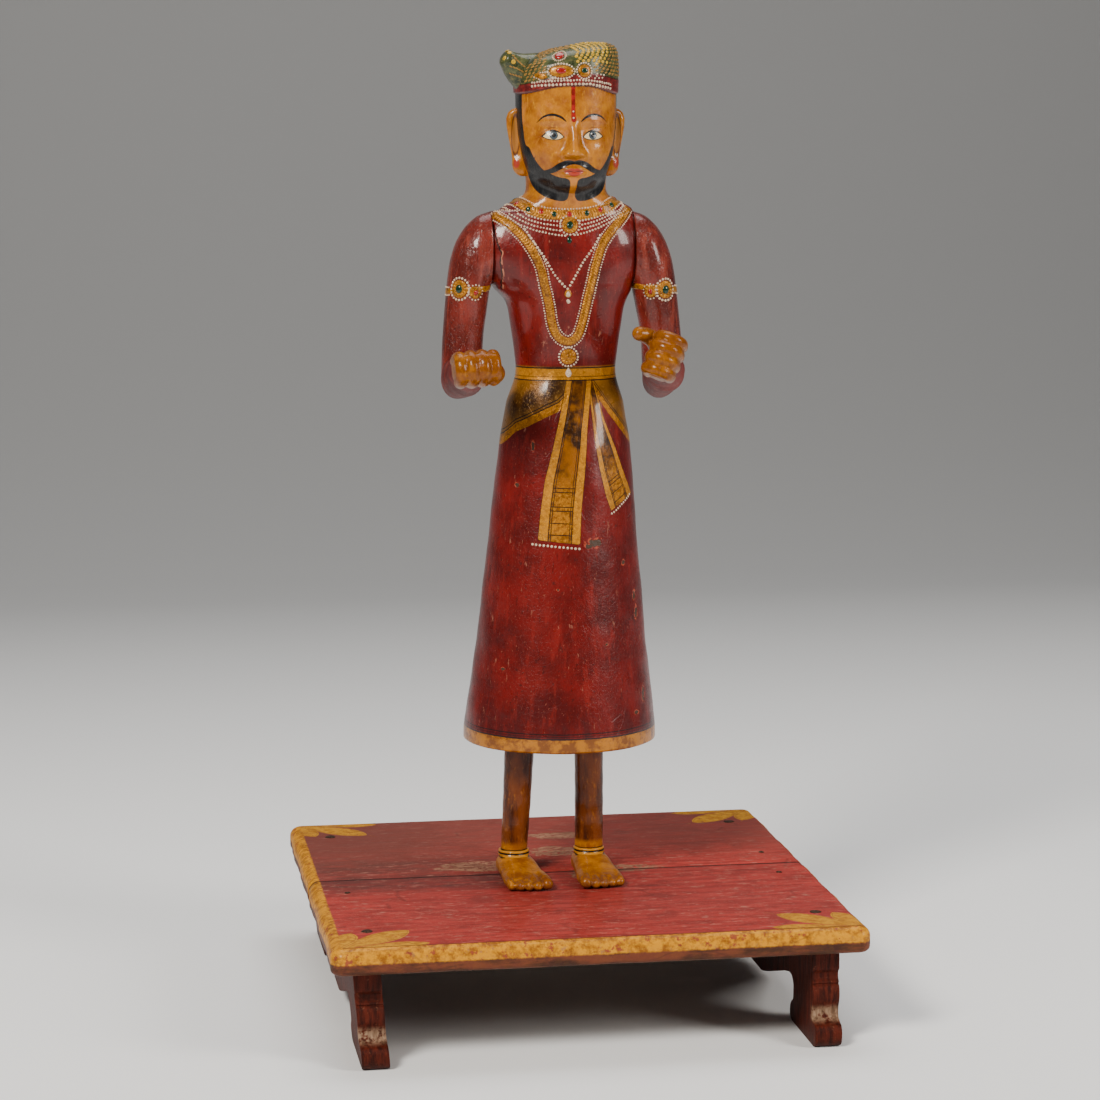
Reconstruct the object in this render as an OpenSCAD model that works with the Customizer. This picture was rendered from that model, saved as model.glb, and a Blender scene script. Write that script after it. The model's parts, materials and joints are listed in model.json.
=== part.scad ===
// Standing wooden festival figure with pinned arms on a low nailed bench.
// Frame: millimetres, origin on the floor under the middle of the bench,
// +Z up, the figure faces -Y, +X is the figure's left-hand side.

/* [Bench] */
// Bench width, side to side
bench_width = 450; // [300:5:600]
// Bench depth, front to back
bench_depth = 446; // [300:2:600]
// Height of the bench top above the floor
bench_top = 104; // [80:1:140]
// Plank thickness
plank_thick = 22; // [15:0.5:30]
// Round-over of the top edges
top_round = 9; // [3:0.5:10]
// Round-over of the bottom edges
bottom_round = 5; // [2:0.5:8]
// Corner radius in plan
corner_radius = 10; // [4:1:20]
// Where the two planks meet, from the middle
plank_joint_y = 3; // [-20:0.5:20]
// Open crack left between the two planks
plank_crack = 0.8; // [0.2:0.1:2]
// Diameter of the hidden dowels between the planks
plank_dowel_d = 10; // [6:0.5:14]
// Length of the hidden dowels between the planks
plank_dowel_len = 50; // [30:2:80]
// Sideways position of the hidden dowels
plank_dowel_x = 120; // [60:5:160]

/* [End boards] */
// End board thickness
end_thick = 23; // [15:0.5:30]
// Middle of the left end board and of both rows of nails, sideways
end_x = 190; // [150:0.5:205]
// Middle of the right end board at the floor, sideways
end_right_foot_x = 188; // [150:0.5:205]
// Outward lean of the right end board, in degrees
end_right_lean = 4.6; // [0:0.2:8]
// Front of the end board's upper block, from the middle
end_front_y = 203; // [180:1:215]
// Front of the toe, from the middle
toe_front_y = 216; // [190:1:222]
// Back of the foot, from the middle
foot_back_y = 140; // [110:1:170]
// Toe height
toe_high = 19; // [8:1:30]
// Height of the arch between foot and skirt
arch_high = 40; // [25:1:60]
// Height of the low middle skirt above the floor
skirt_low = 12; // [4:1:30]
// Half length of the low middle skirt
skirt_half = 22; // [10:1:60]

/* [Nails] */
// Corner nail head diameter
nail_head_d = 10; // [6:0.5:14]
// Corner nail shank diameter
nail_shank_d = 4; // [2:0.5:6]
// Corner nail length
nail_len = 58; // [35:1:70]
// Corner nail distance from the middle, front to back
nail_y = 166; // [120:1:195]
// Small nail head diameter
small_head_d = 5.5; // [3:0.5:8]
// Small nail shank diameter
small_shank_d = 2.5; // [1.5:0.5:4]
// Small nail length
small_len = 42; // [30:1:60]
// How far nail heads stand above the bench top
nail_proud = 0.5; // [0:0.1:1.5]

/* [Robe] */
// Height of the robe's lower edge above the bench
robe_lift = 123; // [90:1:150]
// Half width of the robe at the hem
hem_half = 84.5; // [60:0.5:110]
// Half depth of the robe at the hem, over its half width
hem_depth_share = 0.96; // [0.7:0.01:1]
// Half width at the knees
knee_half = 74.8; // [50:0.2:100]
// Half width at the thighs
thigh_half = 65.7; // [45:0.2:90]
// Half width at the hips
hip_half = 56.7; // [40:0.2:80]
// Half width at the waist
waist_half = 43.4; // [30:0.2:60]
// Half depth at the waist, over its half width
waist_depth_share = 0.7; // [0.5:0.01:1]
// Half width of the chest under the arms
chest_half = 50.5; // [40:0.2:70]
// Half depth of the chest
chest_depth = 35; // [25:0.5:50]
// How far the body leans to its left at the waist
body_lean = 4.6; // [-10:0.2:10]

/* [Head] */
// Half width of the neck
neck_half = 34.5; // [20:0.5:45]
// Half width of the face at the cheeks
face_half = 43; // [30:0.5:55]
// Half depth of the head
head_depth = 42; // [30:0.5:55]
// How far the nose stands out
nose_out = 9; // [3:0.5:14]
// How far the ears stand out
ear_out = 9; // [3:0.5:14]
// How far the turban's side knot stands out
knot_out = 14; // [5:0.5:25]
// Rise of the turban's top towards the figure's left, per millimetre
turban_slope = 0.2; // [0:0.01:0.4]
// Total height of the figure above the bench
figure_height = 727; // [600:1:800]

/* [Arms] */
// Height of the shoulder pivot above the floor
shoulder_z = 660; // [620:1:690]
// Distance of the shoulder's flat face from the middle
shoulder_face = 61.8; // [50:0.2:75]
// Gap between the arm and the shoulder face
shoulder_gap = 0.6; // [0.3:0.1:2]
// Shoulder peg diameter
shoulder_peg_d = 12; // [8:0.5:16]
// Depth of the shoulder peg in the body
shoulder_peg_in = 24; // [15:1:35]
// Depth of the shoulder peg's bore in the arm
shoulder_bore_deep = 22; // [15:0.5:26]
// Radial clearance of the turning shoulder peg
shoulder_clear = 0.05; // [0.01:0.01:0.1]
// Thickness of the upper arm above the elbow
arm_thick = 35.5; // [25:0.5:45]
// Height of the elbow above the floor
elbow_z = 546; // [500:1:580]
// Elbow peg diameter
elbow_peg_d = 7; // [4:0.5:10]
// Elbow peg length
elbow_peg_len = 22; // [12:1:30]
// Length of a forearm with its fist, from the elbow
forearm_len = 119; // [90:1:140]
// Rise of the right forearm, in degrees
rise_right = 9; // [0:0.5:30]
// Rise of the left forearm, in degrees
rise_left = 13.5; // [0:0.5:30]
// Inward turn of the left forearm, in degrees
turn_left = 11; // [0:0.5:30]
// Half width of a fist
fist_half = 20; // [14:0.5:26]
// Half height of a fist
fist_high = 14.5; // [10:0.5:22]
// Roll of the left fist, in degrees
fist_roll_left = 68; // [0:1:90]

/* [Legs and feet] */
// Right leg position at the ankle, sideways
leg_right_x = -41.5; // [-60:0.5:-20]
// Left leg position at the ankle, sideways
leg_left_x = 26; // [15:0.5:60]
// Leg position, front to back
leg_y = 6; // [-20:0.5:30]
// Inward lean of the right leg, in degrees
leg_right_lean = 3.2; // [-6:0.1:6]
// Leg diameter at the ankle
ankle_d = 23.5; // [18:0.5:30]
// Leg diameter under the robe
knee_d = 26; // [18:0.5:32]
// Diameter of the tenon at the top of a leg
leg_tenon_d = 20; // [12:0.5:24]
// Length of the tenon at the top of a leg
leg_tenon_len = 34; // [20:1:60]
// Diameter of the tenon at the foot of a leg
foot_tenon_d = 16; // [10:0.5:20]
// Half width of a foot at the toes
foot_half = 20.5; // [14:0.5:28]
// Foot height at the ankle
foot_high = 18; // [12:0.5:26]
// Length of a foot in front of the leg
foot_front = 75; // [50:1:95]
// Length of a foot behind the leg
foot_back = 16; // [10:0.5:25]
// Diameter of the peg from the bench into a foot
foot_peg_d = 8; // [5:0.5:12]

/* [Hidden] */
$fn = 48;
plank_low = bench_top - plank_thick;
robe_z = bench_top + robe_lift;
top_z = bench_top + figure_height;
ring_points = 48;
arm_points = 32;
mid_arm = shoulder_face + shoulder_gap;
elbow_y = 2;
foot_peg_y = -26;
nail_head_thick = 2;
shoulder_peg_reach = shoulder_peg_in + shoulder_gap + shoulder_bore_deep;

// ---- shared maths ----
function smooth(t, z, w) = (lookup(z - w, t) + 2 * lookup(z, t) + lookup(z + w, t)) / 4;
function bell(v, mid, wide) = exp(-pow((v - mid) / wide, 2));
function clamp01(v) = min(1, max(0, v));
function sum_of(v, i = 0) = i < len(v) ? v[i] + sum_of(v, i + 1) : 0;
function sgnpow(v, p) = sign(v) * pow(abs(v), p);

// Closed skin over equally long rings, each turning anticlockwise as seen from the next one.
module skin(rings) {
    n = len(rings[0]);
    m = len(rings);
    low_mid = [for (c = [0:2]) sum_of([for (p = rings[0]) p[c]]) / n];
    high_mid = [for (c = [0:2]) sum_of([for (p = rings[m - 1]) p[c]]) / n];
    points = concat([for (r = rings) for (p = r) p], [low_mid, high_mid]);
    sides_a = [for (j = [0:m - 2]) for (i = [0:n - 1])
        [j * n + i, (j + 1) * n + i, j * n + (i + 1) % n]];
    sides_b = [for (j = [0:m - 2]) for (i = [0:n - 1])
        [j * n + (i + 1) % n, (j + 1) * n + i, (j + 1) * n + (i + 1) % n]];
    low_cap = [for (i = [0:n - 1]) [i, (i + 1) % n, m * n]];
    high_cap = [for (i = [0:n - 1]) [(m - 1) * n + (i + 1) % n, (m - 1) * n + i, m * n + 1]];
    polyhedron(points = points, faces = concat(sides_a, sides_b, low_cap, high_cap), convexity = 8);
}

// ---- trunk: one log with turbaned head, neck, chest and long robe ----
shoulder_top = shoulder_z + 28;
chin_z = shoulder_top + 17;
band_z = top_z - 38;
width_at = [
    [robe_z, hem_half - 1.5],
    [robe_z + 12, hem_half],
    [robe_z + 85, knee_half],
    [robe_z + 174, thigh_half],
    [robe_z + 262, hip_half],
    [robe_z + 297, hip_half - 5.7],
    [robe_z + 322, waist_half + 0.2],
    [robe_z + 332, waist_half],
    [robe_z + 358, chest_half - 3.4],
    [shoulder_z - 50, chest_half + 1.5],
    [shoulder_z - 38, chest_half + 6.5],
    [shoulder_z - 28, shoulder_face + 0.5],
    [shoulder_z - 16, shoulder_face + 10],
    [shoulder_z, shoulder_face + 17],
    [shoulder_z + 14, shoulder_face + 12],
    [shoulder_top - 3, shoulder_face + 3],
    [shoulder_top + 3, shoulder_face - 9],
    [shoulder_top + 8, neck_half + 5],
    [shoulder_top + 13, neck_half],
    [chin_z, neck_half - 2],
    [chin_z + 10, face_half - 11],
    [chin_z + 26, face_half - 5],
    [chin_z + 45, face_half - 2],
    [chin_z + 66, face_half],
    [band_z, face_half + 1],
    [band_z + 12, face_half + 1.5],
    [top_z - 16, face_half - 1],
    [top_z - 9, face_half - 8],
    [top_z - 5, face_half - 18],
    [top_z - 4, face_half - 30]];
front_at = [
    [robe_z, hem_half * hem_depth_share - 1.5],
    [robe_z + 12, hem_half * hem_depth_share],
    [robe_z + 85, knee_half * 0.93],
    [robe_z + 174, thigh_half * 0.88],
    [robe_z + 262, hip_half * 0.8],
    [robe_z + 322, waist_half * waist_depth_share],
    [robe_z + 358, chest_depth - 3],
    [shoulder_z - 28, chest_depth],
    [shoulder_z, chest_depth],
    [shoulder_top - 3, chest_depth - 9],
    [shoulder_top + 8, neck_half - 2],
    [shoulder_top + 13, neck_half - 2],
    [chin_z, neck_half],
    [chin_z + 8, head_depth - 5],
    [chin_z + 26, head_depth - 2],
    [chin_z + 66, head_depth],
    [band_z + 12, head_depth + 1],
    [top_z - 16, head_depth - 2],
    [top_z - 9, head_depth - 9],
    [top_z - 5, head_depth - 19],
    [top_z - 4, head_depth - 30]];
lean_at = [[robe_z, -0.5], [robe_z + 322, body_lean], [top_z, body_lean]];
back_at = [[robe_z, leg_y], [robe_z + 322, 5], [top_z, 4]];
corner_at = [[robe_z + 262, 1], [robe_z + 330, 0.9], [shoulder_z, 0.9], [shoulder_top, 1], [top_z, 0.95]];

// How far the carved face, ears and side knot stand off the plain section.
function relief(turn, z) =
    nose_out * bell(turn, 270, 9) * bell(z, chin_z + 40, 11)
    + 2.5 * bell(turn, 270, 24) * bell(z, chin_z + 8, 9)
    + ear_out * (bell(turn, 0, 8) + bell(turn, 360, 8) + bell(turn, 180, 8)) * bell(z, chin_z + 40, 20)
    + knot_out * bell(turn, 182, 17) * bell(z, top_z - 24, 9);
function trunk_point(turn, z) =
    let (
        rx = smooth(width_at, z, 3) + relief(turn, z) * abs(cos(turn)),
        ry = smooth(front_at, z, 3) + relief(turn, z) * abs(sin(turn)),
        p = smooth(corner_at, z, 8),
        x = rx * sgnpow(cos(turn), p),
        y = ry * sgnpow(sin(turn), p),
        tilt = turban_slope * clamp01((z - band_z + 4) / 30),
        side = x + smooth(lean_at, z, 10),
        at_arm = z > shoulder_z - 45 && z < shoulder_z + 40)
    [at_arm ? max(-shoulder_face, min(shoulder_face, side)) : side,
        y + smooth(back_at, z, 10), z + tilt * (x - 5)];
trunk_heights = concat(
    [robe_z, robe_z + 4],
    [for (i = [0:13]) robe_z + 12 + i * 22],
    [for (i = [0:8]) robe_z + 309 + i * 7],
    [for (i = [0:14]) shoulder_z - 60 + i * 6.5],
    [for (i = [1:19]) shoulder_z + 31 + i * 5.9],
    [top_z - 20, top_z - 15, top_z - 11, top_z - 8, top_z - 5.5, top_z - 4]);
module trunk_skin() {
    skin([for (z = trunk_heights)
        [for (i = [0:ring_points - 1]) trunk_point(360 * i / ring_points, z)]]);
}
module trunk() {
    color("#7a1c1c")
    difference() {
        trunk_skin();
        shoulder_hole(1, 0);
        shoulder_hole(-1, 0);
        leg_tenon(leg_right_x, leg_right_lean);
        leg_tenon(leg_left_x, 0);
    }
}

// ---- shoulder pegs; side is 1 on the figure's left, -1 on its right ----
module shoulder_hole(side, extra) {
    translate([side * (shoulder_face - shoulder_peg_in), 0, shoulder_z])
        rotate([0, side * 90, 0])
            cylinder(d = shoulder_peg_d + 2 * extra, h = shoulder_peg_reach);
}
module shoulder_peg(side) {
    color("#c69a5c")
    translate([side * (shoulder_face - shoulder_peg_in), 0, shoulder_z])
        rotate([0, side * 90, 0])
            cylinder(d = shoulder_peg_d, h = shoulder_peg_reach - 1);
}
module shoulder_peg_right() {
    shoulder_peg(-1);
}
module shoulder_peg_left() {
    shoulder_peg(1);
}

// ---- upper arms ----
// Outer and inner edges of the arm seen from the front, from the shoulder face down.
arm_outer_x = [[0, 0], [1, 11], [2, 21], [3, 29], [4, 34], [5, 36.5],
    [6, 38.2], [7, 39.8], [8, 41.2], [9, 42.2], [11, 43]];
arm_inner_x = [[0, 0], [1, 0.3], [2, 0.6], [3, 0.9], [4, 1.5], [5, 2.3],
    [6, 3.3], [7, 4.9], [8, 6.4], [9, 7.2], [11, 7.7]];
arm_outer_z = [[0, 28], [1, 24.5], [2, 15.5], [3, 3], [4, -12], [5, -29],
    [6, -48], [7, -66], [8, -83], [11, -150]];
arm_inner_z = [[0, -36], [1, -37.5], [2, -39.5], [3, -42.5], [4, -47], [5, -53],
    [6, -61], [7, -70], [8, -83], [11, -150]];
arm_depth = [[0, 23], [2, 24], [4, 23.5], [6, 20.5], [8, arm_thick / 2 + 0.6], [11, arm_thick / 2 + 0.6]];
function arm_ring(side, spread, k) =
    let (
        xo = mid_arm + lookup(k, arm_outer_x),
        xn = mid_arm + lookup(k, arm_inner_x),
        zo = shoulder_z + lookup(k, arm_outer_z),
        zi = shoulder_z + lookup(k, arm_inner_z),
        out = spread * clamp01(-lookup(k, arm_outer_z) / 115),
        b = lookup(k, arm_depth))
    [for (i = [0:arm_points - 1])
        let (t = 360 * i / arm_points, c = cos(t), s = sin(t))
        [side * ((xo + xn) / 2 + out + c * (xo - xn) / 2), elbow_y / 2 + side * s * b,
            (zo + zi) / 2 + c * (zo - zi) / 2]];
module arm_blank(side, spread) {
    skin([for (j = [0:22]) arm_ring(side, spread, 11 - j / 2)]);
}
// The mitre where upper arm and forearm meet is a plane through the elbow.
function elbow_x(side) = side * (mid_arm + 25.2 + (side > 0 ? 3 : 0));
module elbow_frame(side, rise) {
    translate([elbow_x(side), elbow_y, elbow_z])
        rotate([-(90 + rise) / 2, 0, 0])
            children();
}
module elbow_peg(side, rise) {
    elbow_frame(side, rise)
        cylinder(d = elbow_peg_d, h = elbow_peg_len, center = true);
}
module below_mitre(side, rise) {
    elbow_frame(side, rise)
        translate([0, 0, -60])
            cube([90, 160, 120], center = true);
}
module above_mitre(side, rise) {
    elbow_frame(side, rise)
        translate([0, 0, 60.05])
            cube([90, 160, 120.3], center = true);
}
module upper_arm(side, spread, rise) {
    color("#6f2420")
    difference() {
        arm_blank(side, spread);
        shoulder_hole(side, shoulder_clear);
        below_mitre(side, rise);
        elbow_peg(side, rise);
    }
}
module upper_arm_right() {
    upper_arm(-1, 0, rise_right);
}
module upper_arm_left() {
    upper_arm(1, 3, rise_left);
}
module elbow_peg_right() {
    color("#c69a5c")
    elbow_peg(-1, rise_right);
}
module elbow_peg_left() {
    color("#c69a5c")
    elbow_peg(1, rise_left);
}

// ---- forearms with their fists ----
// Half width and half height along the forearm, as shares of the elbow-to-knuckle length.
sleeve_half = arm_thick / 2 + 1;
fore_wide = [[-0.25, sleeve_half], [0.2, sleeve_half], [0.5, sleeve_half - 3],
    [0.62, fist_half - 4.5], [0.66, fist_half - 3.5], [0.72, fist_half - 0.5], [0.8, fist_half],
    [0.92, fist_half], [0.975, fist_half - 2.5], [1, fist_half - 6]];
fore_high = [[-0.25, sleeve_half], [0.2, sleeve_half], [0.5, sleeve_half - 4], [0.62, fist_high - 1],
    [0.66, fist_high - 1], [0.8, fist_high], [0.92, fist_high], [0.975, fist_high - 2], [1, fist_high - 5]];
fore_corner = [[0.6, 1], [0.75, 0.62], [1, 0.62]];
function fore_ring(roll, t) =
    let (
        w = lookup(t, fore_wide),
        h = lookup(t, fore_high),
        p = lookup(t, fore_corner),
        r = roll * clamp01((t - 0.45) / 0.25))
    [for (i = [0:arm_points - 1])
        let (
            q = 360 * i / arm_points,
            u = w * sgnpow(cos(q), p),
            v = h * sgnpow(sin(q), p))
        [u * cos(r) - v * sin(r), -t * forearm_len, u * sin(r) + v * cos(r)]];
module forearm_blank(roll) {
    stations = [-0.25, 0, 0.15, 0.3, 0.4, 0.48, 0.55, 0.62, 0.66, 0.69, 0.73, 0.78, 0.84, 0.9,
        0.95, 0.975, 0.99, 1];
    skin([for (t = stations) fore_ring(roll, t)]);
}
module finger_gap(roll, across) {
    rotate([0, -roll, 0])
        translate([across, -forearm_len, 0])
            cylinder(d = 3, h = 60, center = true);
}
module thumb(roll, length) {
    rotate([0, -roll, 0])
        translate([fist_half * 0.45, -forearm_len * 0.84, fist_high - 6])
            rotate([0, 8, 0])
                cylinder(d1 = 14, d2 = 9, h = length + 6);
}
module forearm(side, rise, turn, roll, thumb_len) {
    difference() {
        translate([elbow_x(side), elbow_y, elbow_z])
            rotate([-rise, 0, -side * turn])
                difference() {
                    union() {
                        forearm_blank(roll);
                        if (thumb_len > 0) {
                            thumb(roll, thumb_len);
                        }
                    }
                    finger_gap(roll, -10);
                    finger_gap(roll, 0);
                    finger_gap(roll, 10);
                }
        above_mitre(side, rise);
        elbow_peg(side, rise);
    }
}
module forearm_right() {
    color("#b9852f")
    forearm(-1, rise_right, 0, 4, 0);
}
module forearm_left() {
    color("#b9852f")
    forearm(1, rise_left, turn_left, fist_roll_left, 17);
}

// ---- legs ----
module leg_frame(x, lean) {
    translate([x, leg_y, bench_top + foot_high])
        rotate([0, lean, 0])
            children();
}
module leg_tenon(x, lean) {
    leg_frame(x, lean)
        translate([0, 0, robe_lift - foot_high - 12])
            cylinder(d = leg_tenon_d, h = leg_tenon_len + 12);
}
module foot_tenon(x, lean, d) {
    leg_frame(x, lean)
        translate([0, 0, -foot_high + 5])
            cylinder(d = d, h = foot_high - 4);
}
module leg(x, lean) {
    color("#b9852f")
    difference() {
        union() {
            leg_frame(x, lean)
                cylinder(d1 = ankle_d, d2 = knee_d, h = robe_lift - foot_high + 4);
            leg_tenon(x, lean);
            foot_tenon(x, lean, foot_tenon_d);
        }
        leg_trim(x, lean);
    }
}
// Cuts the leg's shoulder flush with the flat underside of the robe.
module leg_trim(x, lean) {
    difference() {
        translate([x, leg_y, robe_z + 10])
            cube([70, 70, 20], center = true);
        leg_tenon(x, lean);
    }
}
module leg_right() {
    leg(leg_right_x, leg_right_lean);
}
module leg_left() {
    leg(leg_left_x, 0);
}

// ---- feet ----
// Half width and height of a foot along its length, heel first.
foot_wide = [[-1, 9], [-0.85, foot_half - 7], [0, foot_half - 4], [0.4, foot_half - 2.5], [0.8, foot_half],
    [0.93, foot_half - 1], [1, foot_half - 3.5]];
foot_tall = [[-1, foot_high - 8], [-0.8, foot_high - 2], [0, foot_high], [0.2, foot_high - 0.5],
    [0.45, foot_high - 5], [0.75, foot_high - 7.5], [0.93, foot_high - 9.5], [1, foot_high - 13]];
function foot_ring(slew, t) =
    let (
        w = lookup(t, foot_wide),
        h = lookup(t, foot_tall),
        y = t < 0 ? -t * foot_back : -t * foot_front)
    [for (i = [0:arm_points - 1])
        let (q = 360 * i / arm_points, u = sgnpow(cos(q), 0.75), v = sgnpow(sin(q), 0.75))
        [w * u + slew * t, y + (slew > 0 ? 0.12 : 0.06) * w * u * clamp01(t), h / 2 * (1 + v)]];
module foot(x, lean, slew) {
    color("#b07c2c")
    difference() {
        union() {
            translate([x, leg_y, bench_top])
                skin([for (t = [-1, -0.85, -0.7, -0.4, 0, 0.15, 0.3, 0.45, 0.6, 0.75, 0.85, 0.93, 0.97, 1])
                    foot_ring(slew, t)]);
            translate([x, leg_y, bench_top + foot_high - 8])
                cylinder(d = ankle_d + 3, h = 8);
            translate([x, leg_y, bench_top + foot_high - 2.5])
                rotate_extrude()
                    translate([ankle_d / 2 + 1, 0])
                        circle(d = 4, $fn = 20);
        }
        foot_tenon(x, lean, foot_tenon_d);
        foot_peg(x, slew);
        translate([x, leg_y, bench_top + foot_high + 10])
            cube([60, 60, 20], center = true);
        for (k = [-1.5, -0.5, 0.5, 1.5])
            translate([x + slew + k * 8.5, leg_y - foot_front, bench_top + 10])
                rotate([0, 0, k * 3])
                    cube([1.2, 26, 10], center = true);
    }
}
module foot_peg(x, slew) {
    translate([x + slew / 2, foot_peg_y, plank_low])
        cylinder(d = foot_peg_d, h = plank_thick + 8);
}
module foot_right() {
    foot(leg_right_x, leg_right_lean, 5);
}
module foot_left() {
    foot(leg_left_x, 0, 1);
}
module foot_peg_right() {
    color("#c69a5c")
    foot_peg(leg_right_x, 5);
}
module foot_peg_left() {
    color("#c69a5c")
    foot_peg(leg_left_x, 1);
}

// ---- bench planks ----
function arc(cx, cy, r, from, to) =
    [for (i = [0:5]) let (a = from + (to - from) * i / 5) [cx + r * cos(a), cy + r * sin(a)]];
// Rounded slab outline, half length a, from z = 0 to the plank thickness.
module slab_profile(a) {
    polygon(concat(
        arc(a - top_round, plank_thick - top_round, top_round, 0, 90),
        arc(-a + top_round, plank_thick - top_round, top_round, 90, 180),
        arc(-a + bottom_round, bottom_round, bottom_round, 180, 270),
        arc(a - bottom_round, bottom_round, bottom_round, 270, 360)));
}
module whole_top() {
    intersection() {
        translate([0, bench_depth / 2 + 5, plank_low])
            rotate([90, 0, 0])
                linear_extrude(bench_depth + 10)
                    slab_profile(bench_width / 2);
        translate([-bench_width / 2 - 5, 0, plank_low])
            rotate([90, 0, 90])
                linear_extrude(bench_width + 10)
                    slab_profile(bench_depth / 2);
        translate([0, 0, plank_low - 1])
            linear_extrude(plank_thick + 2)
                plan_outline(bench_width / 2 - corner_radius, bench_depth / 2 - corner_radius);
    }
}
module plan_outline(a, b) {
    polygon(concat(
        arc(a, b, corner_radius, 0, 90),
        arc(-a, b, corner_radius, 90, 180),
        arc(-a, -b, corner_radius, 180, 270),
        arc(a, -b, corner_radius, 270, 360)));
}
module plank_dowel(side) {
    translate([side * plank_dowel_x, plank_joint_y, bench_top - plank_thick / 2])
        rotate([90, 0, 0])
            cylinder(d = plank_dowel_d, h = plank_dowel_len, center = true);
}
module plank_front() {
    color("#7c2622")
    difference() {
        whole_top();
        translate([-bench_width, plank_joint_y - plank_crack / 2, 0])
            cube([2 * bench_width, bench_depth, 200]);
        plank_dowel(1);
        plank_dowel(-1);
        foot_peg(leg_right_x, 5);
        foot_peg(leg_left_x, 1);
        nail_front_right();
        nail_front_left();
        small_nail_front_right();
        small_nail_front_left();
    }
}
module plank_back() {
    color("#74241f")
    difference() {
        whole_top();
        translate([-bench_width, plank_joint_y + plank_crack / 2 - bench_depth, 0])
            cube([2 * bench_width, bench_depth, 200]);
        plank_dowel(1);
        plank_dowel(-1);
        nail_back_right();
        nail_back_left();
        small_nail_back_left();
    }
}
module plank_dowel_right() {
    color("#c69a5c")
    plank_dowel(-1);
}
module plank_dowel_left() {
    color("#c69a5c")
    plank_dowel(1);
}

// ---- end boards with bracket feet ----
// Half outline of an end board, from the middle of the skirt to the front edge.
end_half = [[0, skirt_low], [skirt_half, skirt_low], [foot_back_y - 42, arch_high - 6],
    [foot_back_y - 21, arch_high - 1], [foot_back_y - 12, arch_high], [foot_back_y - 5, arch_high - 3],
    [foot_back_y - 2.5, arch_high - 7], [foot_back_y - 2, 21.5], [foot_back_y - 8, 17.5],
    [foot_back_y - 13, 13], [foot_back_y - 13.5, 7], [foot_back_y - 11, 2], [foot_back_y - 6, 0]];
end_edge = [[toe_front_y - 8, 0], [toe_front_y - 3, 2], [toe_front_y, 7], [toe_front_y, toe_high - 5],
    [toe_front_y - 4, toe_high], [end_front_y - 1.5, toe_high + 4], [end_front_y, 31], [end_front_y + 3, 38],
    [end_front_y + 3, 49], [end_front_y - 1, 54], [end_front_y - 3, 57], [end_front_y - 3, 63],
    [end_front_y + 1, 65]];
module end_outline(high, low) {
    feet = [[-foot_back_y + 6, -low], [-toe_front_y + 8, -low]];
    front = [for (p = end_half) [-p[0], p[1]]];
    edge = [for (p = end_edge) [-p[0], p[1]]];
    back_edge = [for (i = [len(end_edge) - 1:-1:0]) end_edge[i]];
    back = [for (i = [len(end_half) - 1:-1:1]) end_half[i]];
    polygon(concat(front, low > 0 ? feet : [], edge, [[-end_front_y - 1, high]], [[end_front_y + 1, high]],
        back_edge, low > 0 ? [[toe_front_y - 8, -low], [foot_back_y - 6, -low]] : [], back));
}
module end_board_left() {
    color("#7b3a26")
    difference() {
        translate([end_x - end_thick / 2, 0, 0])
            rotate([90, 0, 90])
                linear_extrude(end_thick)
                    end_outline(plank_low, 0);
        nail_front_left();
        nail_back_left();
        small_nail_front_left();
        small_nail_back_left();
    }
}
module end_board_right() {
    color("#7b3a26")
    difference() {
        intersection() {
            translate([-end_right_foot_x, 0, 0])
                rotate([0, -end_right_lean, 0])
                    translate([-end_thick / 2, 0, 0])
                        rotate([90, 0, 90])
                            linear_extrude(end_thick)
                                end_outline(plank_low + 8, 4);
            translate([-end_right_foot_x, 0, plank_low / 2])
                cube([90, bench_depth, plank_low], center = true);
        }
        nail_front_right();
        nail_back_right();
        small_nail_front_right();
    }
}

// ---- nails ----
module nail(x, y, head, shank, long) {
    translate([x, y, bench_top + nail_proud - nail_head_thick]) {
        cylinder(d1 = head * 0.85, d2 = head, h = nail_head_thick);
        translate([0, 0, -long])
            cylinder(d = shank, h = long + 0.5);
        translate([0, 0, -long - shank])
            cylinder(d1 = 0.8, d2 = shank, h = shank);
    }
}
module nail_front_right() {
    color("#3a2b22")
    nail(-end_x, -nail_y, nail_head_d, nail_shank_d, nail_len);
}
module nail_front_left() {
    color("#3a2b22")
    nail(end_x, -nail_y, nail_head_d, nail_shank_d, nail_len);
}
module nail_back_right() {
    color("#3a2b22")
    nail(-end_x, nail_y, nail_head_d, nail_shank_d, nail_len);
}
module nail_back_left() {
    color("#3a2b22")
    nail(end_x, nail_y, nail_head_d, nail_shank_d, nail_len);
}
module small_nail_front_right() {
    color("#3a2b22")
    nail(-end_x - 4, -40, small_head_d, small_shank_d, small_len);
}
module small_nail_front_left() {
    color("#3a2b22")
    nail(end_x + 1.5, -30, small_head_d, small_shank_d, small_len);
}
module small_nail_back_left() {
    color("#3a2b22")
    nail(end_x + 3, 44, small_head_d, small_shank_d, small_len);
}

// ---- show ----
trunk();
shoulder_peg_right();
shoulder_peg_left();
upper_arm_right();
upper_arm_left();
elbow_peg_right();
elbow_peg_left();
forearm_right();
forearm_left();
leg_right();
leg_left();
foot_right();
foot_left();
foot_peg_right();
foot_peg_left();
plank_front();
plank_back();
plank_dowel_right();
plank_dowel_left();
end_board_right();
end_board_left();
nail_front_right();
nail_front_left();
nail_back_right();
nail_back_left();
small_nail_front_right();
small_nail_front_left();
small_nail_back_left();
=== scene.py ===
import bmesh
import bpy
import json
import math
import numpy as np
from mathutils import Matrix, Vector
from mathutils.bvhtree import BVHTree


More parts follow.
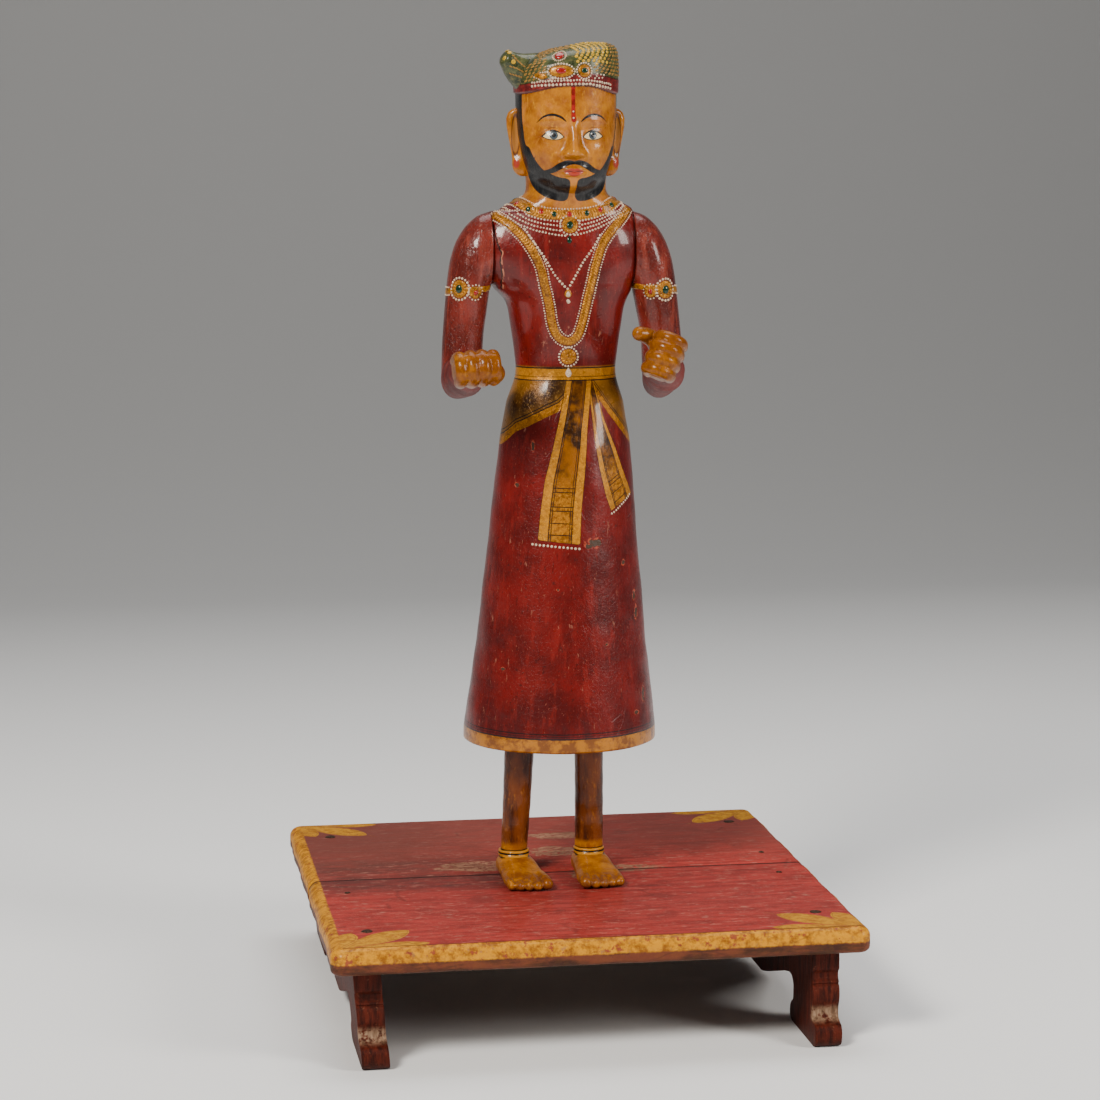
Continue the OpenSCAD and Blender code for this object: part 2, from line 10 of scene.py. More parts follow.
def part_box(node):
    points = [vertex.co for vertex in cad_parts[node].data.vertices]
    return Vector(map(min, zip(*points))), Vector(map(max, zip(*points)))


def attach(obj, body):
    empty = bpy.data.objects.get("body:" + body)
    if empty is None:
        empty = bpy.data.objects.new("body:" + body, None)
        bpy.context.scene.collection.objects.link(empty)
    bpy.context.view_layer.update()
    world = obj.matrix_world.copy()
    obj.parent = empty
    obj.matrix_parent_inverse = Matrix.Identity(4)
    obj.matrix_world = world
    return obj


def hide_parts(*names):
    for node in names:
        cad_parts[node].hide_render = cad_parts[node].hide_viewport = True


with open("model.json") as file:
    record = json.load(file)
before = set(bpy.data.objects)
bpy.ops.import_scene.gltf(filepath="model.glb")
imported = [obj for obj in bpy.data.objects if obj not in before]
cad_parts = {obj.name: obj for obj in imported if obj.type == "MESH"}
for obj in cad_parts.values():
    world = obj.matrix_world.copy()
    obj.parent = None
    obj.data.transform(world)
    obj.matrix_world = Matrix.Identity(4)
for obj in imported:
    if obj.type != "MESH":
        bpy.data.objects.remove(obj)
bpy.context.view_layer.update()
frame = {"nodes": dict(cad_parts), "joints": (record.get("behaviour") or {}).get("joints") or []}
ROOT = "figure_and_bench"
RNG = np.random.RandomState(7)


def box(node):
    a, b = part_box(node)
    return np.array(a) * 1000, np.array(b) * 1000


# ---------------------------------------------------------------- sizes, in mm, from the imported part
t_lo, t_hi = box("trunk")
RZ, TZ = t_lo[2], t_hi[2]
BT = box("plank_front")[1][2]
BENCH_LO = box("plank_front")[0]
JOINT_Y = box("plank_front")[1][1]
HX, HY, UNDER = -BENCH_LO[0], -BENCH_LO[1], BENCH_LO[2]
SZ = frame["joints"][0]["pos_m"][2] * 1000
FACE = abs(frame["joints"][0]["pos_m"][0]) * 1000 - 0.6
HEAD_X, HEAD_Y = 4.6, 4.0
BAND = TZ - 36.0


def tab(z, rows, blur=0.0):
    rows = np.array(rows, float)
    fine = np.arange(rows[0, 0] - 30, rows[-1, 0] + 30, 0.5)
    v = np.interp(fine, rows[:, 0], rows[:, 1])
    if blur > 0:
        k = np.exp(-0.5 * (np.arange(-int(6 * blur), int(6 * blur) + 1) * 0.5 / blur) ** 2)
        v = np.convolve(np.pad(v, len(k) // 2, mode="edge"), k / k.sum(), mode="valid")
    return np.interp(z, fine, v)


def bell(v, mid, wide):
    return np.exp(-(((v - mid) / wide) ** 2))


def ramp(v, a, b):
    t = np.clip((v - a) / (b - a), 0, 1)
    return t * t * (3 - 2 * t)


def smooth_line(pts, step=1.0, closed=False):
    """Catmull-Rom through the points, sampled about every step."""
    p = np.array(pts, float)
    n = len(p)
    segs = n if closed else n - 1
    out = []
    for i in range(segs):
        if closed:
            a, b, c, d = p[(i - 1) % n], p[i], p[(i + 1) % n], p[(i + 2) % n]
        else:
            b, c = p[i], p[i + 1]
            a = p[i - 1] if i > 0 else 2 * b - c
            d = p[i + 2] if i + 2 < n else 2 * c - b
        m = max(2, int(np.linalg.norm(c - b) / step) + 1)
        for j in range(m):
            t = j / m
            out.append(0.5 * ((2 * b) + (c - a) * t + (2 * a - 5 * b + 4 * c - d) * t * t + (3 * b - a - 3 * c + d) * t ** 3))
    if not closed:
        out.append(p[-1])
    return np.array(out)


def even(line, step):
    """The same line with points spaced evenly by about step."""
    d = np.r_[0, np.cumsum(np.linalg.norm(np.diff(line, axis=0), axis=1))]
    n = max(2, int(round(d[-1] / step)) + 1)
    s = np.linspace(0, d[-1], n)
    return np.stack([np.interp(s, d, line[:, i]) for i in range(line.shape[1])], 1)


def sdf_poly(q, poly):
    """Signed distance from points q (k, 2) to a closed outline, negative inside."""
    poly = np.array(poly, float)
    d2 = np.full(len(q), 1e12)
    inside = np.zeros(len(q), bool)
    for i in range(len(poly)):
        a, b = poly[i], poly[(i + 1) % len(poly)]
        e = b - a
        w = q - a
        h = np.clip((w @ e) / max(e @ e, 1e-9), 0, 1)
        d2 = np.minimum(d2, ((w - h[:, None] * e) ** 2).sum(1))
        with np.errstate(divide="ignore", invalid="ignore"):
            cross = (a[1] > q[:, 1]) != (b[1] > q[:, 1])
            xs = a[0] + (q[:, 1] - a[1]) / (b[1] - a[1] if b[1] != a[1] else 1e-9) * (b[0] - a[0])
        inside ^= cross & (q[:, 0] < xs)
    return np.where(inside, -np.sqrt(d2), np.sqrt(d2))


# ---------------------------------------------------------------- meshes
def make(name, verts, faces, mat, body=ROOT, smooth=True, replaces=(), attrs=None):
    me = bpy.data.meshes.new(name)
    me.from_pydata((np.asarray(verts) * 0.001).tolist(), [], [list(map(int, f)) for f in faces])
    me.update()
    if smooth:
        me.polygons.foreach_set("use_smooth", [True] * len(me.polygons))
    o = bpy.data.objects.new(name, me)
    bpy.context.scene.collection.objects.link(o)
    for m in mat if isinstance(mat, (list, tuple)) else [mat]:
        me.materials.append(m)
    for k, v in (attrs or {}).items():
        a = me.attributes.new(k, "FLOAT", "POINT")
        a.data.foreach_set("value", np.asarray(v, np.float32))
    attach(o, body)
    if replaces:
        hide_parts(*replaces)
    return o


def loft(rings, cap0=True, cap1=True):
    """rings: (m, n, 3). Faces point outwards when the rings turn anticlockwise seen from the next one."""
    rings = np.asarray(rings)
    m, n, _ = rings.shape
    v = rings.reshape(-1, 3)
    j, i = np.meshgrid(np.arange(m - 1), np.arange(n), indexing="ij")
    i2 = (i + 1) % n
    f = np.stack([j * n + i, j * n + i2, (j + 1) * n + i2, (j + 1) * n + i], -1).reshape(-1, 4).tolist()
    if cap0:
        v = np.vstack([v, rings[0].mean(0)])
        k = len(v) - 1
        f += [[(i + 1) % n, i, k] for i in range(n)]
    if cap1:
        v = np.vstack([v, rings[-1].mean(0)])
        k = len(v) - 1
        f += [[(m - 1) * n + i, (m - 1) * n + (i + 1) % n, k] for i in range(n)]
    return v, f


def join_parts(parts):
    vs, fs, k = [], [], 0
    for v, f in parts:
        vs.append(np.asarray(v))
        fs += [[a + k for a in q] for q in f]
        k += len(v)
    return np.vstack(vs), fs


def tube(path, radii, n=14, ball=True, flat=None):
    """Rounded sausage along a path; radii per path point. flat is not used."""
    p = np.array(path, float)
    r = np.array(radii, float)
    t = np.gradient(p, axis=0)
    t /= np.linalg.norm(t, axis=1)[:, None]
    if ball:
        ph = np.linspace(90, 15, 5) * math.pi / 180
        head = [(p[0] - t[0] * r[0] * math.sin(a), r[0] * max(math.cos(a), 0.02), t[0]) for a in ph]
        tail = [(p[-1] + t[-1] * r[-1] * math.sin(a), r[-1] * max(math.cos(a), 0.02), t[-1]) for a in ph[::-1]]
    else:
        head, tail = [], []
    rows = head + list(zip(p, r, t)) + tail
    ref = np.array([0.21, 0.43, 0.88])
    rings = []
    for c, rr, d in rows:
        a = np.cross(d, ref)
        a /= np.linalg.norm(a)
        b = np.cross(d, a)
        ang = np.arange(n) * 2 * math.pi / n
        rings.append(c + rr * (np.cos(ang)[:, None] * a + np.sin(ang)[:, None] * b))
    return loft(rings)


def fuse(name, parts, voxel, smooth_steps, mat, keep=None, **kw):
    """Carves overlapping closed shapes into one skin; returns vertices and faces in mm."""
    v, f = join_parts(parts)
    me = bpy.data.meshes.new(name + "_raw")
    me.from_pydata(v.tolist(), [], f)
    me.update()
    o = bpy.data.objects.new(name + "_raw", me)
    bpy.context.scene.collection.objects.link(o)
    r = o.modifiers.new("r", "REMESH")
    r.mode = "VOXEL"
    r.voxel_size = voxel
    s = o.modifiers.new("s", "SMOOTH")
    s.factor = 0.5
    s.iterations = smooth_steps
    dg = bpy.context.evaluated_depsgraph_get()
    e = bpy.data.meshes.new_from_object(o.evaluated_get(dg))
    bpy.data.objects.remove(o)
    vv = np.empty(len(e.vertices) * 3, np.float32)
    e.vertices.foreach_get("co", vv)
    ff = [list(p.vertices) for p in e.polygons]
    bpy.data.meshes.remove(e)
    bpy.data.meshes.remove(me)
    return vv.reshape(-1, 3).astype(float), ff


# ---------------------------------------------------------------- node helper
class Paint:
    """Small helper that writes shader nodes as expressions."""

    def __init__(self, name):
        self.m = bpy.data.materials.new(name)
        self.m.use_nodes = True
        self.t = self.m.node_tree
        self.p = self.t.nodes["Principled BSDF"]
        self.c = None

    def node(self, kind, **kw):
        n = self.t.nodes.new(kind)
        for k, v in kw.items():
            setattr(n, k, v)
        return n

    def put(self, sock, v):
        if isinstance(v, bpy.types.NodeSocket):
            self.t.links.new(v, sock)
        elif isinstance(v, (tuple, list)) and len(v) == 3 and sock.type == "RGBA":
            sock.default_value = (*v, 1)
        else:
            sock.default_value = v

    def mm(self):
        """Position in mm at rest, before any pose."""
        if self.c is None:
            tc = self.node("ShaderNodeTexCoord")
            s = self.node("ShaderNodeVectorMath", operation="SCALE")
            s.inputs["Scale"].default_value = 1000.0
            self.t.links.new(tc.outputs["Object"], s.inputs[0])
            self.c = s.outputs[0]
        return self.c

    def xyz(self):
        s = self.node("ShaderNodeSeparateXYZ")
        self.put(s.inputs[0], self.mm())
        return s.outputs[0], s.outputs[1], s.outputs[2]

    def f(self, op, a, b=None, c=None, clamp=False):
        n = self.node("ShaderNodeMath", operation=op, use_clamp=clamp)
        self.put(n.inputs[0], a)
        if b is not None:
            self.put(n.inputs[1], b)
        if c is not None:
            self.put(n.inputs[2], c)
        return n.outputs[0]

    def add(self, a, b):
        return self.f("ADD", a, b)

    def mul(self, a, b, clamp=False):
        return self.f("MULTIPLY", a, b, clamp=clamp)

    def span(self, v, a, b, c=0.0, d=1.0, kind="SMOOTHSTEP"):
        n = self.node("ShaderNodeMapRange", interpolation_type=kind)
        for s, x in zip(n.inputs[:5], (v, a, b, c, d)):
            self.put(s, x)
        return n.outputs[0]

    def attr(self, name):
        n = self.node("ShaderNodeAttribute", attribute_name=name)
        return n.outputs["Fac"]

    def noise(self, scale, detail=3.0, rough=0.55, stretch=None, seed=0.0, out="Fac", distort=0.0):
        """scale is in features per 100 mm."""
        m = self.node("ShaderNodeMapping")
        self.put(m.inputs["Vector"], self.mm())
        k = scale / 100.0
        s = stretch or (1, 1, 1)
        m.inputs["Scale"].default_value = (k * s[0], k * s[1], k * s[2])
        m.inputs["Location"].default_value = (seed, seed * 1.7, seed * 0.6)
        n = self.node("ShaderNodeTexNoise")
        self.put(n.inputs["Vector"], m.outputs[0])
        n.inputs["Scale"].default_value = 1.0
        n.inputs["Detail"].default_value = detail
        n.inputs["Roughness"].default_value = rough
        n.inputs["Distortion"].default_value = distort
        return n.outputs[out]

    def cells(self, scale, feature="DISTANCE_TO_EDGE", stretch=None, wobble=0.0):
        m = self.node("ShaderNodeMapping")
        src = self.mm()
        if wobble:
            w = self.node("ShaderNodeVectorMath", operation="MULTIPLY_ADD")
            self.put(w.inputs[0], self.noise(scale * 2.0, 2.0, out="Color"))
            w.inputs[1].default_value = (wobble,) * 3
            self.put(w.inputs[2], src)
            src = w.outputs[0]
        self.put(m.inputs["Vector"], src)
        k = scale / 100.0
        s = stretch or (1, 1, 1)
        m.inputs["Scale"].default_value = (k * s[0], k * s[1], k * s[2])
        n = self.node("ShaderNodeTexVoronoi", feature=feature)
        self.put(n.inputs["Vector"], m.outputs[0])
        n.inputs["Scale"].default_value = 1.0
        return n.outputs["Distance"]

    def inside(self, d, soft=0.25, wander=None):
        """1 where the distance d is negative, with a hand-painted edge."""
        if wander is not None:
            d = self.add(d, wander)
        return self.span(d, soft, -soft)

    def mix(self, fac, a, b, blend="MIX"):
        n = self.node("ShaderNodeMix", data_type="RGBA", blend_type=blend)
        self.put(n.inputs[0], fac)
        self.put(n.inputs[6], a)
        self.put(n.inputs[7], b)
        return n.outputs[2]

    def either(self, *masks):
        out = masks[0]
        for m in masks[1:]:
            out = self.f("MAXIMUM", out, m)
        return out

    def line(self, d, at, half, soft=0.2):
        """1 where d is within half of at."""
        return self.span(self.f("ABSOLUTE", self.add(d, -at)), half + soft, half - soft)

    def bump(self, height, strength=0.4, dist=0.001, normal=None):
        n = self.node("ShaderNodeBump")
        n.inputs["Strength"].default_value = strength
        n.inputs["Distance"].default_value = dist
        self.put(n.inputs["Height"], height)
        if normal is not None:
            self.put(n.inputs["Normal"], normal)
        return n.outputs[0]

    def done(self, color, rough=0.35, metal=0.0, coat=0.0, coat_rough=0.12, normal=None, ior=1.5, spec=None):
        p = self.p
        self.put(p.inputs["Base Color"], color)
        self.put(p.inputs["Roughness"], rough)
        self.put(p.inputs["Metallic"], metal)
        p.inputs["IOR"].default_value = ior
        self.put(p.inputs["Coat Weight"], coat if isinstance(coat, bpy.types.NodeSocket) else coat * 0.55)
        p.inputs["Coat Roughness"].default_value = coat_rough
        p.inputs["Coat IOR"].default_value = 1.5
        p.inputs["Specular IOR Level"].default_value = 0.22 if spec is None else spec
        if normal is not None:
            self.put(p.inputs["Normal"], normal)
        return self.m


# ---------------------------------------------------------------- trunk surface
W_TAB = [(RZ, 84.5), (RZ + 12, 84.5), (RZ + 31, 82.3), (RZ + 85, 74.8), (RZ + 139, 69.3), (RZ + 174, 65.7), (RZ + 227, 61), (RZ + 262, 56.9),
         (RZ + 297, 51.2), (RZ + 312, 46.2), (RZ + 320, 43.9), (RZ + 328, 43.3), (RZ + 336, 44.2), (RZ + 358, 47.4), (RZ + 378, 50.5),
         (SZ - 42, 55), (SZ - 36, 58.5), (SZ + 28, 60.5), (SZ + 32, 56), (SZ + 35, 50), (SZ + 38, 42), (SZ + 41, 37), (SZ + 45, 34.8),
         (SZ + 60, 34.2), (TZ, 34.2)]
D_TAB = [(RZ, 81), (RZ + 12, 81), (RZ + 85, 70), (RZ + 174, 58), (RZ + 262, 45.5), (RZ + 300, 36.5), (RZ + 322, 30.5), (RZ + 334, 30.2),
         (RZ + 358, 32), (SZ - 28, 35), (SZ, 35.5), (SZ + 18, 31), (SZ + 26, 27.5), (SZ + 34, 29), (SZ + 41, 31.5), (SZ + 60, 31.5), (TZ, 31.5)]
# head above the jaw: half width, front reach, back reach
HW_TAB = [(SZ + 41, 6), (SZ + 44, 17), (SZ + 49, 25.5), (SZ + 56, 32), (SZ + 64, 36.2), (SZ + 76, 39.6), (SZ + 90, 41.8), (SZ + 108, 43.2),
          (BAND, 43.4), (BAND + 10, 44.2), (TZ - 14, 43.2), (TZ - 9, 40.5), (TZ - 5, 34), (TZ - 2, 22), (TZ - 0.6, 8)]
HF_TAB = [(SZ + 41, 12), (SZ + 44, 29), (SZ + 49, 37), (SZ + 56, 40.5), (SZ + 70, 41.3), (SZ + 90, 41), (SZ + 110, 40.5), (BAND, 40.5),
          (BAND + 10, 41.5), (TZ - 14, 40), (TZ - 9, 37), (TZ - 5, 31), (TZ - 2, 20), (TZ - 0.6, 8)]
HB_TAB = [(SZ + 41, 6), (SZ + 50, 14), (SZ + 60, 30), (SZ + 72, 38), (SZ + 90, 41.5), (SZ + 110, 42), (TZ - 16, 41), (TZ - 9, 36),
          (TZ - 5, 30), (TZ - 2, 20), (TZ - 0.6, 8)]
LEAN = [(RZ, -0.5), (RZ + 322, 4.6), (TZ, 4.6)]
BACK = [(RZ, 6), (RZ + 322, 5), (TZ, 4)]


def polar(th, a, b, n):
    return (np.abs(np.cos(th) / a) ** n + np.abs(np.sin(th) / b) ** n) ** (-1.0 / n)


def body_radius(th, z):
    """Plain section of robe, chest and neck, seen from its own middle."""
    cx = tab(z, LEAN, 8)
    b = tab(z, D_TAB, 4)
    w = tab(z, W_TAB, 2.2)
    n = np.interp(z, [RZ + 262, RZ + 330, SZ + 20, SZ + 34], [2.0, 2.2, 2.25, 2.0])
    in_arm = (z > SZ - 50) & (z < SZ + 28)
    h = 23.5 * np.sqrt(np.clip(1 - ((z - (SZ - 4)) / 32) ** 2, 0, 1))
    side = np.where(np.cos(th) > 0, FACE - cx, FACE + cx)
    flare = side * (1 - np.clip(h / b, 0, 0.93) ** n) ** (-1.0 / n)
    a = np.where(in_arm, w + (np.maximum(w, flare) - w) * ramp(z, SZ - 50, SZ - 27), w)
    return polar(th, a, b, n)


def head_radius(th, z):
    a = tab(z, HW_TAB, 1.2)
    b = np.where(np.sin(th) < 0, tab(z, HF_TAB, 1.2), tab(z, HB_TAB, 1.5))
    return polar(th, a, b, 2.15)


# face heights by the usual thirds between turban edge and chin
CHIN = SZ + 44
THIRD = (BAND - 1 - CHIN) / 3
BROW_Z, NOSE_Z = CHIN + 2 * THIRD + 1, CHIN + THIRD + 1
EYE_Z, LIP_Z = BROW_Z - 11.5, CHIN + 0.62 * THIRD
EYE_U = 16.8


def face_relief(u, z):
    au = np.abs(u)
    nose_h = np.interp(z, [NOSE_Z - 4, NOSE_Z - 1, NOSE_Z + 1.5, NOSE_Z + 5, NOSE_Z + 14, BROW_Z - 4, BROW_Z + 5], [0, 2.5, 9, 10.6, 6.6, 2.6, 0])
    nose_w = np.interp(z, [NOSE_Z, NOSE_Z + 5, NOSE_Z + 14, BROW_Z], [6.4, 5.8, 4.4, 4.0])
    d = nose_h * np.exp(-np.abs(u / nose_w) ** 2.4)
    d += 4.2 * bell(au, 6.9, 2.9) * bell(z, NOSE_Z + 2.6, 3.0)
    d -= 2.6 * bell(au, EYE_U - 2, 10.5) * bell(z, EYE_Z + 2.5, 8.5)
    d += 2.3 * bell(au, EYE_U, 7.6) * bell(z, EYE_Z, 5.0)
    d += 0.9 * bell(au, 17, 12) * bell(z, BROW_Z + 1, 3.2)
    d += 1.6 * bell(au, 25, 10) * bell(z, NOSE_Z + 7, 10)
    d += 2.3 * np.exp(-((u / 8.5) ** 4)) * (bell(z, LIP_Z + 2.3, 1.8) + bell(z, LIP_Z - 2.2, 2.0))
    d += 1.8 * bell(au, 0, 15) * bell(z, LIP_Z + 2, 9)
    d += 2.2 * bell(u, 0, 10) * bell(z, CHIN + 6, 6)
    return d


def trunk_grid(n, zs):
    u = np.arange(n) / n
    th = 2 * math.pi * u - 0.45 * np.cos(2 * math.pi * u)
    TH, Z = np.meshgrid(th, zs)
    rb = body_radius(TH, Z)
    rh = head_radius(TH, Z)
    k = 0.55
    m = np.maximum(rb, rh)
    blend = m + np.log(np.exp(k * (rb - m)) + np.exp(k * (rh - m))) / k
    top = Z > SZ + 62
    r = np.where(Z < SZ + 40, rb, np.where(top, rh, blend))
    w = ramp(Z, SZ + 56, SZ + 66)
    r = np.where((Z > SZ + 40), blend * (1 - w) + rh * w, rb)
    cx, cy = tab(Z, LEAN, 8), tab(Z, BACK, 8)
    X, Y = r * np.cos(TH), r * np.sin(TH)
    front = ramp(-np.sin(TH), 0.05, 0.5)
    head = ramp(Z, CHIN - 6, CHIN + 4) * ramp(Z, BAND + 2, BAND - 6)
    d = face_relief(X, Z) * front * head
    # the turban stands a little proud of the forehead, and its head-band of the turban
    edge = BAND + 1.5 - 6.5 * ramp(np.abs(X), 8, 44)
    d += 1.1 * ramp(Z - edge, -0.6, 0.6) + 0.5 * ramp(Z - edge, -0.6, 0.6) * ramp(Z - edge, 9.5, 8.5)
    X = X + d * np.cos(TH)
    Y = Y + d * np.sin(TH)
    # uneven hand carving
    wob = 0.35 * np.sin(Z * 0.07 + 2.2 * np.cos(TH * 3 + 0.4)) * np.sin(TH * 5 + Z * 0.023) + 0.16 * np.sin(TH * 11 + 2.0 * np.sin(Z * 0.03))
    wob += 0.10 * np.sin(Z * 0.19 + 3.0 * np.sin(TH * 2 + 1.0))
    wob *= ramp(Z, SZ + 60, SZ + 30) * 0.8 + 0.15
    X = X + wob * np.cos(TH)
    Y = Y + wob * np.sin(TH)
    tilt = 0.2 * np.clip((Z - BAND + 4) / 30, 0, 1)
    XX = X + cx
    ZZ = Z + tilt * (XX - 5)
    arm = (Z > SZ - 45) & (Z < SZ + 38)
    XX = np.where(arm, np.clip(XX, -FACE, FACE), XX)
    return np.stack([XX, Y + cy, ZZ], -1), dict(th=TH, u=X, y=Y, z=Z, edge=Z - edge)


# ---------------------------------------------------------------- distances for painted shapes, in mm
def stroke(q, pts, half):
    """Distance from q (k, 2) to a brush stroke through pts whose half width runs along half."""
    pts = np.array(pts, float)
    line = smooth_line(np.c_[pts, half], 0.6)
    best = np.full(len(q), 1e9)
    for a, b in zip(line[:-1], line[1:]):
        e = b[:2] - a[:2]
        w = q - a[:2]
        h = np.clip((w @ e) / max(e @ e, 1e-9), 0, 1)
        d = np.sqrt(((w - h[:, None] * e) ** 2).sum(1)) - (a[2] + (b[2] - a[2]) * h)
        best = np.minimum(best, d)
    return best


zs = np.r_[RZ, RZ + 0.6, np.arange(RZ + 2, RZ + 262, 2.4), np.arange(RZ + 262, SZ + 36, 1.3), np.arange(SZ + 36, TZ - 8, 0.72),
           TZ - 7, TZ - 6, TZ - 5, TZ - 4, TZ - 3, TZ - 2.2, TZ - 1.5, TZ - 1, TZ - 0.6]
NTH = 216
grid, on = trunk_grid(NTH, zs)
grid[0, :, :2] = grid[0, :, :2] * 0.982
tv, tf = loft(grid)
flat = {k: v.reshape(-1) for k, v in on.items()}
FX, FY, FZ = grid[..., 0].reshape(-1), grid[..., 1].reshape(-1), grid[..., 2].reshape(-1)
is_front = np.sin(flat["th"]) < 0.12
A = {}


def field(name, fn, where, far=40.0):
    """Stores a distance field evaluated only at the chosen points of the trunk."""
    v = np.full(len(tv), far)
    idx = np.nonzero(where)[0]
    v[idx] = np.clip(fn(idx), -far, far)
    A[name] = v


face = is_front & (flat["z"] > CHIN - 14) & (flat["z"] < BAND + 12)
AU = np.abs(flat["u"])
uz = np.stack([flat["u"], flat["z"]], 1)
auz = np.stack([AU, flat["z"]], 1)
turn_f = np.abs(np.arctan2(flat["u"], -flat["y"]))
sz_ = np.stack([turn_f * 42.0, flat["z"]], 1)
field("brow", lambda i: stroke(auz[i], [(6.5, BROW_Z + 0.5), (11, BROW_Z + 4.2), (18, BROW_Z + 6.2), (25, BROW_Z + 4.4), (30.5, BROW_Z - 0.8)],
                               [0.45, 1.0, 1.05, 0.75, 0.15]), face)
EYE = smooth_line([(EYE_U - 8.6, EYE_Z - 1.0), (EYE_U - 5, EYE_Z + 2.4), (EYE_U, EYE_Z + 4.1), (EYE_U + 5, EYE_Z + 2.7), (EYE_U + 9.4, EYE_Z - 0.6)], 0.7)
EYE2 = smooth_line([(EYE_U + 9.4, EYE_Z - 0.6), (EYE_U + 5, EYE_Z - 2.6), (EYE_U, EYE_Z - 3.4), (EYE_U - 5, EYE_Z - 2.8), (EYE_U - 8.6, EYE_Z - 1.0)], 0.7)
field("eye", lambda i: sdf_poly(auz[i], np.vstack([EYE[:-1], EYE2[:-1]])), face)
field("lash", lambda i: stroke(auz[i], [(EYE_U - 9.2, EYE_Z - 1.4), (EYE_U - 5, EYE_Z + 2.6), (EYE_U, EYE_Z + 4.4), (EYE_U + 5, EYE_Z + 3.0),
                                        (EYE_U + 10.6, EYE_Z - 0.9)], [0.3, 0.6, 0.75, 0.65, 0.2]), face)
field("lid", lambda i: stroke(auz[i], [(EYE_U - 6, EYE_Z + 4.6), (EYE_U, EYE_Z + 7.0), (EYE_U + 6.4, EYE_Z + 4.8), (EYE_U + 9.8, EYE_Z + 1.6)],
                              [0.1, 0.32, 0.3, 0.1]), face)
field("iris", lambda i: np.hypot(AU[i] - EYE_U, flat["z"][i] - EYE_Z - 0.5), face)
field("glint", lambda i: np.hypot(flat["u"][i] - np.sign(flat["u"][i]) * EYE_U + 1.1, flat["z"][i] - EYE_Z - 1.8), face)
LIPS = [(-8.4, LIP_Z + 0.2), (-4.6, LIP_Z + 2.2), (-2.0, LIP_Z + 3.1), (0, LIP_Z + 2.4), (2.0, LIP_Z + 3.1), (4.6, LIP_Z + 2.2), (8.4, LIP_Z + 0.2),
        (4.4, LIP_Z - 2.6), (0, LIP_Z - 3.9), (-4.4, LIP_Z - 2.6)]
field("lip", lambda i: sdf_poly(uz[i], smooth_line(LIPS, 0.7, closed=True)), face)
field("mouth", lambda i: stroke(auz[i], [(0, LIP_Z - 0.2), (3.5, LIP_Z + 0.3), (8.0, LIP_Z + 0.3)], [0.35, 0.4, 0.15]), face)
field("tache", lambda i: stroke(auz[i], [(0.2, NOSE_Z - 4.6), (5, NOSE_Z - 4.6), (11, NOSE_Z - 7.0), (18, NOSE_Z - 11.2), (25, NOSE_Z - 12.4),
                                         (30.5, NOSE_Z - 8.4), (31.8, NOSE_Z - 2.4), (30.6, NOSE_Z + 1.6)], [1.3, 2.2, 2.7, 2.2, 1.5, 0.9, 0.5, 0.1]), face)
BEARD = [(3.2, LIP_Z - 8.4), (6, LIP_Z - 5.6), (12, LIP_Z - 4.6), (20, LIP_Z - 2.0), (29, LIP_Z + 2.5), (36, LIP_Z + 10.5), (41.5, LIP_Z + 20),
         (47, EYE_Z - 7), (49.5, EYE_Z + 6), (50.5, BROW_Z + 8), (52, BAND + 8), (68, BAND + 8), (66, BROW_Z), (61, EYE_Z - 4), (59, EYE_Z - 20),
         (58, LIP_Z + 6), (54, LIP_Z - 6), (45, CHIN + 3.5), (32, CHIN - 2.5), (19, CHIN - 6.0), (9, CHIN - 6.6), (4.4, CHIN - 4.0), (3.2, CHIN + 1.5)]
field("beard", lambda i: sdf_poly(sz_[i], smooth_line(BEARD, 1.2, closed=True)), (flat["z"] > CHIN - 14) & (flat["z"] < BAND + 12))
HAIR = [(63, BAND + 9), (140, BAND + 9), (140, SZ + 50), (112, SZ + 50), (92, SZ + 54), (76, SZ + 62), (70, SZ + 74), (69, EYE_Z + 8)]
field("hair", lambda i: sdf_poly(sz_[i], smooth_line(HAIR, 2.0, closed=True)), (flat["z"] > CHIN - 20) & (flat["z"] < BAND + 12))
field("tilak", lambda i: stroke(uz[i], [(-0.6, BAND + 6), (-0.4, BROW_Z + 12), (-0.2, BROW_Z + 2)], [1.9, 1.7, 2.1]), face)
field("edge", lambda i: flat["edge"][i], flat["z"] > BAND - 16, 60)
A["edge"][A["edge"] == 60] = -60
A["edge"][-1] = 30

# sashes and the wrapped cloth at the waist
xz = np.stack([FX, FZ], 1)
waist = is_front & (FZ > RZ + 165) & (FZ < RZ + 335)
S1L = [(0, 322), (0, 318), (-6, 291), (-13, 263), (-21, 233), (-25, 208), (-28, 182)]
S1R = [(23, 322), (22.5, 317), (17, 275), (14, 241), (10, 208), (8, 178)]
S2L = [(19.5, 317), (20, 300), (23, 266), (27, 241), (32, 219), (37, 205)]
S2R = [(24, 317), (33, 283), (42, 261), (50, 239), (59, 218)]


def up(pts):
    return [(x, z + RZ) for x, z in pts]


field("sash1", lambda i: sdf_poly(xz[i], up(S1L + S1R[::-1])), waist)
field("sash2", lambda i: sdf_poly(xz[i], up(S2L + S2R[::-1])), waist)


def across(i, left, right):
    lz, lx = np.array(up(left))[::-1, 1], np.array(left)[::-1, 0]
    rz, rx = np.array(up(right))[::-1, 1], np.array(right)[::-1, 0]
    a, b = np.interp(FZ[i], lz, lx), np.interp(FZ[i], rz, rx)
    return (FX[i] - a) / np.maximum(b - a, 1)


